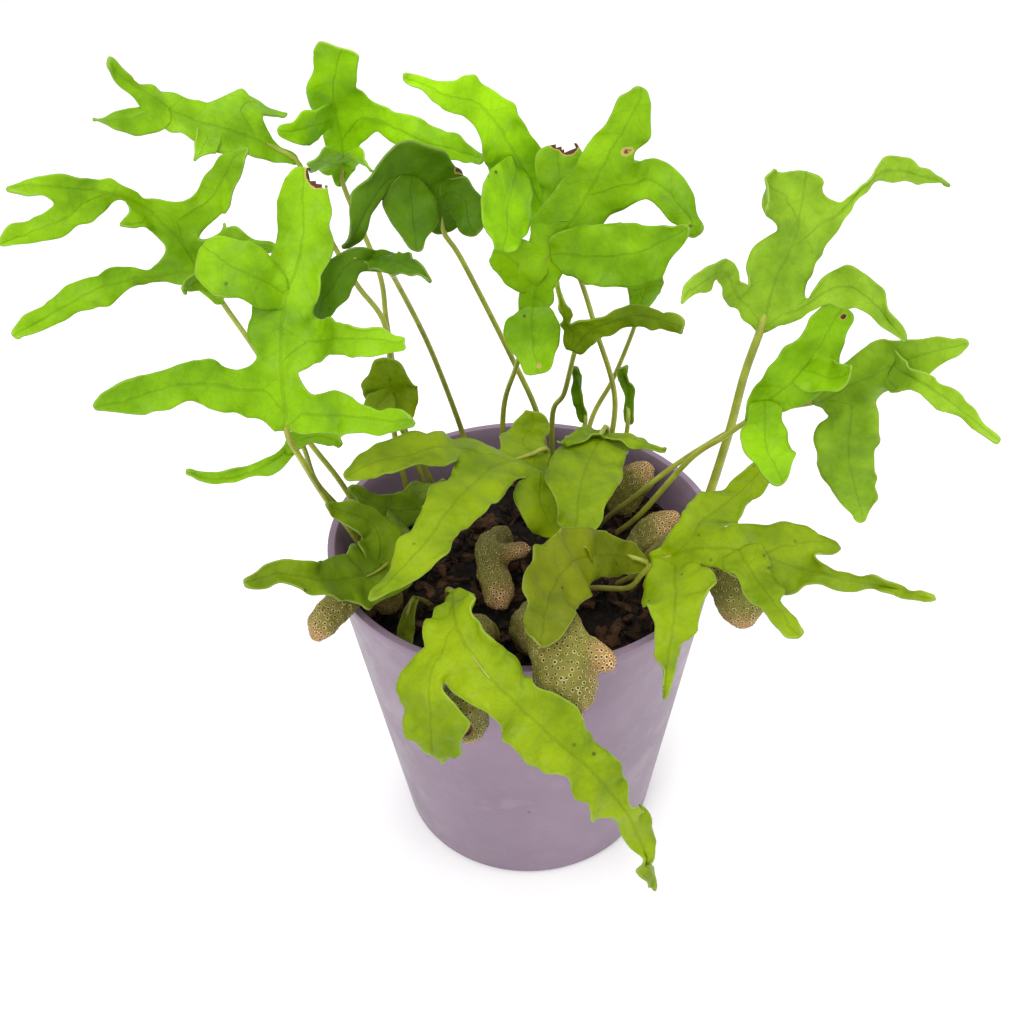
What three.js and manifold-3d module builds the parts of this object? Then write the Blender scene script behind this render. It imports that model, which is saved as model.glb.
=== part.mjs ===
// A potted ant fern: a plastic nursery pot full of potting mix, swollen rhizomes that creep over
// its rim, and lobed, wavy fronds on thin stipes that stand in plain holes in the mix.
// Millimetres, +Z up, the origin at the middle of the pot's underside, -Y towards the viewer.
import * as THREE from 'three';
import { mergeVertices } from 'three/addons/utils/BufferGeometryUtils.js';
import Module from 'manifold-3d';

const wasm = await Module();
wasm.setup();

// Clearance between pieces that touch, and around a rhizome's bed in the mix
const GAP = 0.3;
const BED_GAP = 0.5;

// Pot
const POT_HEIGHT = 100;
const POT_RIM_RADIUS = 52.5;
const POT_BASE_RADIUS = 38;
const POT_WALL = 2;
const POT_FLOOR = 2.4;
const POT_BAND_HEIGHT = 3.5;
const POT_BAND_PROUD = 0.7;
const POT_FOOT_CHAMFER = 1.5;
const POT_SIDES = 48;
const DRAIN_HOLES = 6;
const DRAIN_RADIUS = 3.5;
const DRAIN_CIRCLE = 24;
const DRAIN_SIDES = 16;

// Potting mix
const MIX_TOP = 87;
const MIX_RINGS = 6;
const MIX_SECTORS = 30;
const MIX_LUMP = 1.6;
const MIX_FINE_LUMP = 0.6 * MIX_LUMP;

// Fronds: the net's row, how strongly a blade turns to its face, thicknesses, the stipe
const ROW = 5.6;
const FEWEST_ROWS = 4;
const FACE_PULL = 0.45;
const BLADE_THICK = 0.8;
const RIB_THICK_FOOT = 2.2;
const RIB_THICK_TIP = 1.1;
const LOBE_RIB_THICK = 1.2;
const FOOT_HALF_WIDTH = 1.3;
const STIPE_RADIUS = 1.15;
const STIPE_TAPER = 0.35;
const STIPE_SIDES = 6;
const STIPE_STEP = 9;
const STIPE_DEPTH = 9;

// Frond edges: how far they run in and out as a share of the half width, and how high they wave
const EDGE_RUN = 0.08;
const EDGE_LIFT = 1.3;
const EDGE_WAVE = 0.5;
const TIP_DROP = 0.62;
const TIP_DROP_POINTED = 0.23;
const TIP_POWER = 5;
const TIP_POWER_POINTED = 3;
const BLADE_POINT = 0.3;
const LOBE_POINT = 0.25;
const LOBE_LEAVE = 0.6;
const LOBE_HEADING = 0.3;
const BEND_ROOM = 0.75;
const ROOT_HOLD = 0.8;
const LOBE_FOLD = 0.35;
const FOLD_ROOT = 0.3;

// Rhizomes
const RHIZOME_SIDES = 12;
const RHIZOME_STEP = 4;
const RHIZOME_LUMP = 0.07;
const RHIZOME_BED_LUMP = 0.09;
const RHIZOME_BLUNT = 0.9;
const RHIZOME_END_DROP = 0.75;
const RHIZOME_END_BULGE = 0.45;
const SCAR_SIDES = 10;

const vec = ([x, y, z]) => new THREE.Vector3(x, y, z);

// A repeatable number from -1 to 1
function wobble(seed, step) {
  const s = Math.sin(seed * 12.9898 + step * 78.233) * 43758.5453;
  return (s - Math.floor(s)) * 2 - 1;
}

function curveThrough(points) {
  return new THREE.CatmullRomCurve3(points, false, 'catmullrom', 0.5);
}

// A closed triangle mesh as a solid, and back
function solidOf(points, triangles) {
  const geometry = new THREE.BufferGeometry().setFromPoints(triangles.flat().map((i) => points[i]));
  const merged = mergeVertices(geometry, 1e-4);
  return new wasm.Manifold(
    new wasm.Mesh({
      numProp: 3,
      vertProperties: merged.attributes.position.array,
      triVerts: new Uint32Array(merged.index.array),
    }),
  );
}

function solidFromGeometry(geometry) {
  const bare = geometry.clone();
  bare.deleteAttribute('normal');
  bare.deleteAttribute('uv');
  const merged = mergeVertices(bare, 1e-4);
  return new wasm.Manifold(
    new wasm.Mesh({
      numProp: 3,
      vertProperties: merged.attributes.position.array,
      triVerts: new Uint32Array(merged.index.array),
    }),
  );
}

// The largest body, without the slivers that a boolean can leave
function largestOf(solid) {
  return solid.decompose().reduce((most, body) => (body.volume() > most.volume() ? body : most));
}

function geometryOf(solid) {
  const mesh = solid.getMesh();
  const geometry = new THREE.BufferGeometry();
  geometry.setAttribute('position', new THREE.BufferAttribute(mesh.vertProperties, 3));
  geometry.setIndex(new THREE.BufferAttribute(mesh.triVerts, 1));
  const flat = geometry.toNonIndexed();
  flat.computeVertexNormals();
  return flat;
}

// Directions along a run of points: forward, up and to the right. Up is carried along from the
// first and drawn back towards the way that the face looks.
function framesAlong(centres, firstUp, face = firstUp) {
  const frames = [];
  let up = firstUp.clone();
  centres.forEach((centre, i) => {
    const before = centres[Math.max(i - 1, 0)];
    const after = centres[Math.min(i + 1, centres.length - 1)];
    const along = after.clone().sub(before).normalize();
    const square = (way) => way.clone().addScaledVector(along, -way.dot(along));
    up = square(up).normalize().addScaledVector(square(face), i > 0 ? FACE_PULL : 0).normalize();
    frames.push({ centre, along, up, right: along.clone().cross(up) });
  });
  return frames;
}

// How far a row's edge may reach before it crosses the next row's, on the inside of a bend
function reachLimit(frames, i, side) {
  const { centre, right } = frames[i];
  const limits = [frames[i - 1], frames[i + 1]].filter(Boolean).map((next) => {
    const step = next.centre.clone().sub(centre);
    const closing = -side * next.right.clone().sub(right).dot(step) / step.length();
    return closing > 0 ? (BEND_ROOM * step.length()) / closing : Infinity;
  });
  return Math.min(...limits);
}

// A value from a short list, spread evenly over 0 to 1
function spread(list, t) {
  const place = t * (list.length - 1);
  const k = Math.min(Math.floor(place), list.length - 2);
  return list.length === 1 ? list[0] : THREE.MathUtils.lerp(list[k], list[k + 1], place - k);
}

// Full width in the middle, drawn in to a rounded or a pointed tip
function tipShape(t, point) {
  return 1 - (TIP_DROP + TIP_DROP_POINTED * point) * Math.pow(t, TIP_POWER - TIP_POWER_POINTED * point);
}

// The blade as a net of four-sided faces: a strip along the midrib and a strip for each lobe
function bladeNet(frond, seed) {
  const points = [];
  const thick = [];
  const add = (point, thickness) => {
    points.push(point);
    thick.push(thickness);
    return points.length - 1;
  };
  const foot = vec(frond.foot);
  const rib = curveThrough([foot, ...frond.rib.map((p) => foot.clone().add(vec(p)))]);
  const rows = Math.max(FEWEST_ROWS, Math.round(rib.getLength() / ROW));
  const centres = Array.from({ length: rows + 1 }, (_, i) => rib.getPointAt(i / rows));
  const face = vec(frond.face).normalize();
  const frames = framesAlong(centres, face);
  const crisp = frond.crisp ?? 1;
  const point = frond.point ?? BLADE_POINT;
  let noise = 0;
  const next = () => wobble(seed, (noise += 1));

  const strip = frames.map(({ centre, right, up }, i) => {
    const t = i / rows;
    const opening = Math.min(1, (i * ROW) / frond.opens);
    const half = spread(frond.wide, t) / 2;
    const width = Math.max(FOOT_HALF_WIDTH, half * opening * tipShape(t, point));
    const edge = (side) => {
      const wanted = i === 0 ? FOOT_HALF_WIDTH : width * (1 + EDGE_RUN * next());
      const reach = Math.min(wanted, reachLimit(frames, i, side));
      const lift = i === 0 ? 0 : crisp * (EDGE_LIFT * next() + EDGE_WAVE * (i % 2 ? side : -side));
      return centre.clone().addScaledVector(right, side * reach).addScaledVector(up, lift);
    };
    const ribThick = RIB_THICK_FOOT + (RIB_THICK_TIP - RIB_THICK_FOOT) * t;
    return {
      left: add(edge(-1), BLADE_THICK),
      middle: add(centre, ribThick),
      right: add(edge(1), BLADE_THICK),
    };
  });
  const ribRows = strip.slice(1).map((b, i) => {
    const a = strip[i];
    return [
      [a.left, a.middle, b.middle, b.left],
      [a.middle, a.right, b.right, b.middle],
    ];
  });

  const taken = new Set();
  const lobes = frond.lobes.map((lobe) => {
    const tip = foot.clone().add(vec(lobe.tip));
    const mid = foot.clone().add(vec(lobe.mid));
    const wanted = Math.round(lobe.at * rows) - 1;
    const heading = mid.clone().add(tip).multiplyScalar(0.5);
    const near = Math.min(Math.max(wanted, 0), rows - 2);
    const side = heading.sub(frames[near + 1].centre).dot(frames[near + 1].right) > 0 ? 1 : -1;
    const free = (k) => !taken.has(side * (k + 1)) && !taken.has(side * (k + 2));
    const k = [0, 1, -1, 2, -2, 3, -3].map((d) => near + d).find((i) => i >= 0 && i <= rows - 2 && free(i));
    if (k === undefined) throw new Error(`no room for a lobe at ${lobe.at}`);
    const edgeName = side > 0 ? 'right' : 'left';
    const root = [k, k + 1, k + 2].map((i) => strip[i][edgeName]);
    const { centre: ribPlace, right: ribRight, up: ribUp } = frames[k + 1];
    const outward = ribRight.clone().multiplyScalar(side);
    const rootPlace = points[root[1]];
    const folded = lobe.folded ?? mid.clone().sub(rootPlace).normalize().dot(outward) < LOBE_FOLD;
    const leave = rootPlace.clone().addScaledVector(outward, ROW * LOBE_LEAVE);
    leave.lerp(rootPlace.clone().lerp(mid, LOBE_HEADING), 0.5);
    const curve = curveThrough(folded ? [ribPlace, mid, tip] : [rootPlace, leave, mid, tip]);
    const steps = Math.max(2, Math.round(curve.getLength() / ROW));
    const run = Array.from({ length: steps + 1 }, (_, j) => curve.getPointAt(j / steps));
    const ways = framesAlong(run, ribUp, lobe.face ? vec(lobe.face).normalize() : face);
    if (!folded) {
      taken.add(side * (k + 1));
      taken.add(side * (k + 2));
      const rootAcross = points[root[0]].clone().sub(points[root[2]]).normalize().multiplyScalar(side);
      ways.slice(1).forEach((way, j) => {
        const turned = way.right.clone().addScaledVector(rootAcross, ROOT_HOLD ** (j + 1)).normalize();
        way.right = turned.addScaledVector(way.up, -turned.dot(way.up)).normalize();
      });
    }
    const foldedRoot = () => {
      const half = ways[0].right.clone().multiplyScalar(side * spread(lobe.wide, 0) * FOLD_ROOT);
      return [ribPlace.clone().add(half), ribPlace, ribPlace.clone().sub(half)].map((p) => add(p, BLADE_THICK));
    };
    const lobeRows = [];
    let previous = folded ? foldedRoot() : root;
    for (let j = 1; j <= steps; j += 1) {
      const { centre, right, up } = ways[j];
      const t = j / steps;
      const width = (spread(lobe.wide, t) / 2) * tipShape(t, lobe.point ?? LOBE_POINT);
      const edge = (way) => {
        const reach = Math.min(width * (1 + EDGE_RUN * next()), reachLimit(ways, j, -side * way));
        const lift = crisp * (EDGE_LIFT * next() + EDGE_WAVE * (j % 2 ? way : -way));
        return centre.clone().addScaledVector(right, -side * way * reach).addScaledVector(up, lift);
      };
      const ribThick = LOBE_RIB_THICK + (BLADE_THICK - LOBE_RIB_THICK) * t;
      const row = [add(edge(-1), BLADE_THICK), add(centre, ribThick), add(edge(1), BLADE_THICK)];
      const quads = [0, 1].map((c) => [previous[c], row[c], row[c + 1], previous[c + 1]]);
      lobeRows.push(side > 0 ? quads : quads.map((quad) => quad.reverse()));
      previous = row;
    }
    return lobeRows;
  });
  return { points, thick, strips: [ribRows, ...lobes] };
}

// Edges of the net that only one face has, in that face's own direction
function borderOf(quads) {
  const edges = new Map();
  quads.forEach((quad) => {
    quad.forEach((a, i) => {
      const b = quad[(i + 1) % 4];
      const key = Math.min(a, b) + ',' + Math.max(a, b);
      if (edges.has(key)) edges.delete(key);
      else edges.set(key, [a, b]);
    });
  });
  return [...edges.values()];
}

// Each point of the net moved to where the smooth surface through its faces lies
function smoothed(points, quads, border) {
  const onBorder = new Map();
  border.forEach(([a, b]) => {
    onBorder.set(a, [...(onBorder.get(a) ?? []), b]);
    onBorder.set(b, [...(onBorder.get(b) ?? []), a]);
  });
  const faces = points.map(() => 0);
  const edgeSum = points.map(() => new THREE.Vector3());
  const cornerSum = points.map(() => new THREE.Vector3());
  quads.forEach((quad) => {
    quad.forEach((a, i) => {
      faces[a] += 1;
      edgeSum[a].add(points[quad[(i + 1) % 4]]).add(points[quad[(i + 3) % 4]]);
      cornerSum[a].add(points[quad[(i + 2) % 4]]);
    });
  });
  return points.map((point, i) => {
    if (onBorder.has(i)) {
      const [a, b] = onBorder.get(i);
      return point.clone().multiplyScalar(4).add(points[a]).add(points[b]).divideScalar(6);
    }
    const n = faces[i];
    return point
      .clone()
      .multiplyScalar(n * n)
      .addScaledVector(edgeSum[i], 2)
      .add(cornerSum[i])
      .divideScalar(n * (n + 5));
  });
}

// The net as a thin closed sheet, split into triangles alike on both faces. It is fused from short
// overlapping stretches of two rows each, so that a lobe may curl across another or across the rib.
function sheetSolid({ points, thick, strips }) {
  const net = strips.flat(2);
  const places = smoothed(points, net, borderOf(net));
  const normals = places.map(() => new THREE.Vector3());
  net.forEach(([a, b, c, d]) => {
    const across = places[c].clone().sub(places[a]);
    const other = places[d].clone().sub(places[b]);
    const normal = across.cross(other);
    [a, b, c, d].forEach((i) => normals[i].add(normal));
  });
  const count = places.length;
  const shell = [1, -1].flatMap((side) =>
    places.map((place, i) => {
      const normal = normals[i].clone().normalize();
      return place.clone().addScaledVector(normal, (side * thick[i]) / 2);
    }),
  );
  const closed = (quads) => {
    const triangles = [];
    quads.forEach(([a, b, c, d]) => {
      triangles.push([a, b, c], [a, c, d]);
      triangles.push([a + count, c + count, b + count], [a + count, d + count, c + count]);
    });
    borderOf(quads).forEach(([a, b]) => {
      triangles.push([b, a, a + count], [b, a + count, b + count]);
    });
    return solidOf(shell, triangles);
  };
  const stretches = strips.flatMap((rows) => rows.slice(1).map((row, i) => closed([...rows[i], ...row])));
  return stretches.reduce((whole, stretch) => whole.add(stretch));
}

// A closed tube along a curve, with a radius that changes along it and blunt ends
function tubeSolid(curve, radiusAt, sides, step, roundEnds = false, bump = () => 1) {
  const length = curve.getLength();
  const rings = Math.max(3, Math.round(length / step));
  const centres = Array.from({ length: rings + 1 }, (_, i) => curve.getPointAt(i / rings));
  const first = centres[1].clone().sub(centres[0]);
  const hint = Math.abs(first.z) > 0.9 * first.length() ? new THREE.Vector3(0, -1, 0) : new THREE.Vector3(0, 0, 1);
  const frames = framesAlong(centres, hint);
  const points = [];
  frames.forEach(({ centre, up, right }, i) => {
    const radius = radiusAt(i / rings);
    for (let s = 0; s < sides; s += 1) {
      const angle = (2 * Math.PI * s) / sides;
      const reach = radius * bump(i, s);
      points.push(
        centre
          .clone()
          .addScaledVector(right, reach * Math.cos(angle))
          .addScaledVector(up, reach * Math.sin(angle)),
      );
    }
  });
  const triangles = [];
  for (let i = 0; i < rings; i += 1) {
    for (let s = 0; s < sides; s += 1) {
      const a = i * sides + s;
      const b = i * sides + ((s + 1) % sides);
      triangles.push([a, a + sides, b + sides], [a, b + sides, b]);
    }
  }
  const ends = [
    [0, -1],
    [rings, 1],
  ];
  ends.forEach(([ring, way]) => {
    const { centre, along } = frames[ring];
    const out = roundEnds ? radiusAt(ring / rings) * RHIZOME_END_BULGE : 0;
    const tip = points.push(centre.clone().addScaledVector(along, way * out)) - 1;
    for (let s = 0; s < sides; s += 1) {
      const a = ring * sides + s;
      const b = ring * sides + ((s + 1) % sides);
      triangles.push(way > 0 ? [a, tip, b] : [a, b, tip]);
    }
  });
  const solid = solidOf(points, triangles);
  return solid.volume() < 0 ? solidOf(points, triangles.map(([a, b, c]) => [a, c, b])) : solid;
}

// The stipe's run: from under the mix, through its places and on into the foot of the blade
function stipeCurve(frond) {
  const foot = vec(frond.foot);
  const places = frond.stipe.map(vec);
  const root = places[0].clone().setZ(MIX_TOP - STIPE_DEPTH);
  const rib = curveThrough([foot, ...frond.rib.map((p) => foot.clone().add(vec(p)))]);
  const inside = rib.getPointAt(Math.min(0.5, ROW / rib.getLength()));
  return curveThrough([root, ...places, foot, inside]);
}

function frondSolid(frond, seed) {
  const curve = stipeCurve(frond);
  const stipe = tubeSolid(curve, (t) => STIPE_RADIUS * (1 - STIPE_TAPER * t), STIPE_SIDES, STIPE_STEP);
  return largestOf(sheetSolid(bladeNet(frond, seed)).add(stipe));
}

// The hole that a frond's stipe stands in
function stipeHole(frond) {
  const curve = stipeCurve(frond);
  const places = curve.points.map((place) => place.clone());
  places[0].z -= GAP;
  return tubeSolid(curveThrough(places), () => STIPE_RADIUS + GAP, STIPE_SIDES, STIPE_STEP);
}

// Pot: a tapered cup with a rim band, a chamfered foot and drain holes
function potRadiusAt(z) {
  return POT_BASE_RADIUS + ((POT_RIM_RADIUS - POT_BAND_PROUD - POT_BASE_RADIUS) * z) / POT_HEIGHT;
}

function potSolid() {
  const bandFoot = POT_HEIGHT - POT_BAND_HEIGHT;
  const profile = [
    [0, 0],
    [POT_BASE_RADIUS - POT_FOOT_CHAMFER, 0],
    [potRadiusAt(POT_FOOT_CHAMFER), POT_FOOT_CHAMFER],
    [potRadiusAt(bandFoot - POT_BAND_PROUD), bandFoot - POT_BAND_PROUD],
    [potRadiusAt(bandFoot) + POT_BAND_PROUD, bandFoot],
    [POT_RIM_RADIUS, POT_HEIGHT],
    [POT_RIM_RADIUS - POT_WALL, POT_HEIGHT],
    [potRadiusAt(bandFoot) - POT_WALL, bandFoot],
    [potRadiusAt(POT_FLOOR) - POT_WALL, POT_FLOOR],
    [0, POT_FLOOR],
  ].map(([r, z]) => new THREE.Vector2(r, z));
  const turned = new THREE.LatheGeometry(profile, POT_SIDES).rotateX(Math.PI / 2);
  let pot = solidFromGeometry(turned);
  for (let i = 0; i < DRAIN_HOLES; i += 1) {
    const angle = (2 * Math.PI * i) / DRAIN_HOLES;
    const drain = new THREE.CylinderGeometry(DRAIN_RADIUS, DRAIN_RADIUS, 3 * POT_FLOOR, DRAIN_SIDES)
      .rotateX(Math.PI / 2)
      .translate(DRAIN_CIRCLE * Math.cos(angle), DRAIN_CIRCLE * Math.sin(angle), 0);
    pot = pot.subtract(solidFromGeometry(drain));
  }
  return pot;
}

// Potting mix: fills the pot to a lumpy top
function mixSolid() {
  const points = [];
  const bottom = POT_FLOOR + GAP;
  const reachAt = (z) => potRadiusAt(z) - POT_WALL - GAP;
  const lumpy = (x, y) =>
    MIX_LUMP * Math.sin(x * 0.21 + 1) * Math.cos(y * 0.26) + MIX_FINE_LUMP * Math.sin(x * 0.47 - y * 0.39);
  points.push(new THREE.Vector3(0, 0, MIX_TOP + lumpy(0, 0)));
  for (let ring = 1; ring <= MIX_RINGS; ring += 1) {
    for (let s = 0; s < MIX_SECTORS; s += 1) {
      const angle = (2 * Math.PI * (s + (ring % 2) / 2)) / MIX_SECTORS;
      const radius = (reachAt(MIX_TOP) * ring) / MIX_RINGS;
      const x = radius * Math.cos(angle);
      const y = radius * Math.sin(angle);
      const edge = ring === MIX_RINGS ? 0 : lumpy(x, y);
      points.push(new THREE.Vector3(x, y, MIX_TOP + edge));
    }
  }
  const outer = 1 + (MIX_RINGS - 1) * MIX_SECTORS;
  for (let s = 0; s < MIX_SECTORS; s += 1) {
    const angle = (2 * Math.PI * (s + (MIX_RINGS % 2) / 2)) / MIX_SECTORS;
    const radius = reachAt(bottom);
    points.push(new THREE.Vector3(radius * Math.cos(angle), radius * Math.sin(angle), bottom));
  }
  const foot = points.push(new THREE.Vector3(0, 0, bottom)) - 1;
  const triangles = [];
  for (let s = 0; s < MIX_SECTORS; s += 1) {
    const t = (s + 1) % MIX_SECTORS;
    triangles.push([0, 1 + s, 1 + t]);
    for (let ring = 1; ring < MIX_RINGS; ring += 1) {
      const a = 1 + (ring - 1) * MIX_SECTORS;
      const b = a + MIX_SECTORS;
      if (ring % 2) triangles.push([a + s, b + s, a + t], [a + t, b + s, b + t]);
      else triangles.push([a + s, b + s, b + t], [a + s, b + t, a + t]);
    }
    const low = outer + MIX_SECTORS;
    triangles.push([outer + s, low + s, low + t], [outer + s, low + t, outer + t]);
    triangles.push([low + s, foot, low + t]);
  }
  return solidOf(points, triangles);
}

// Rhizome: a fat bent tube, lumpy and round-ended, with horns and raised frond scars
function rhizomeSolid(rhizome, seed, grow = 0) {
  const runs = [{ run: rhizome.run, thick: rhizome.thick }, ...(rhizome.horns ?? [])];
  const solids = runs.map(({ run, thick }, r) => {
    const curve = curveThrough(run.map(vec));
    const radiusAt = (t) => {
      const end = Math.min(t, 1 - t) * curve.getLength();
      const blunt = thick * RHIZOME_BLUNT;
      const close = Math.min(1, end / blunt);
      return thick * Math.sqrt(1 - RHIZOME_END_DROP * (1 - close) ** 2) + grow;
    };
    const bump = (i, s) => 1 + RHIZOME_LUMP * wobble(seed + r * 7, i * RHIZOME_SIDES + s);
    return tubeSolid(curve, radiusAt, RHIZOME_SIDES, RHIZOME_STEP, true, grow ? () => 1 + RHIZOME_BED_LUMP : bump);
  });
  const scars = (rhizome.scars ?? []).map(({ at, out, wide }) => {
    const end = vec(at).addScaledVector(vec(out).normalize(), grow);
    const start = vec(at).addScaledVector(vec(out).normalize(), -wide);
    return tubeSolid(curveThrough([start, end]), () => wide / 2 + grow, SCAR_SIDES, wide);
  });
  return [...solids, ...scars].reduce((whole, piece) => whole.add(piece));
}

const RHIZOMES = {
  rhizome_front: {
    thick: 7.2,
    run: [[2, -29, 91], [4, -39, 101], [6.5, -50, 109], [8.5, -60, 107], [9, -65.5, 99.5]],
    horns: [{ thick: 3.4, run: [[8, -51, 107], [15, -56, 108.6], [19.5, -58, 107]] }],
    scars: [{ at: [10, -69, 103.5], out: [0, -1, 0.4], wide: 4 }],
  },
  rhizome_front_left: {
    thick: 5.3,
    run: [[-11, -33, 90], [-12, -42, 102], [-13, -51, 107.2], [-14, -60, 102], [-14, -62, 89]],
    scars: [{ at: [-14, -66, 96], out: [0.2, -1, 0.3], wide: 3 }],
  },
  rhizome_left: {
    thick: 4,
    run: [[-35, -17, 90], [-37, -24, 101.5], [-42, -30, 106], [-47, -36, 104.4], [-51, -39, 100]],
  },
  rhizome_right: {
    thick: 6.2,
    run: [[35, -7, 90], [40, -13, 101.5], [46, -21, 108.6], [52, -30, 104], [54, -34, 97]],
    horns: [{ thick: 2.8, run: [[46, -20, 108], [52, -20, 111], [56, -19, 111]] }],
  },
  rhizome_right_inner: {
    thick: 5.6,
    run: [[30, 2, 87], [36, 3, 95], [41, 3, 100]],
  },
  rhizome_back_right: {
    thick: 5.2,
    run: [[27, 24, 87], [31, 25, 95], [36, 26, 101]],
  },
  rhizome_centre: {
    thick: 4.4,
    run: [[-6, 12, 88], [-9, 2, 92], [-8, -10, 92], [-6, -20, 91]],
    horns: [{ thick: 2.6, run: [[-9, 0, 92], [-3, -3, 95], [1, -4, 97]] }],
  },
  rhizome_left_inner: {
    thick: 3.2,
    run: [[-37, 12, 87], [-42, 7, 92], [-44, 0, 91], [-42, -7, 88]],
  },
};

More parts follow.
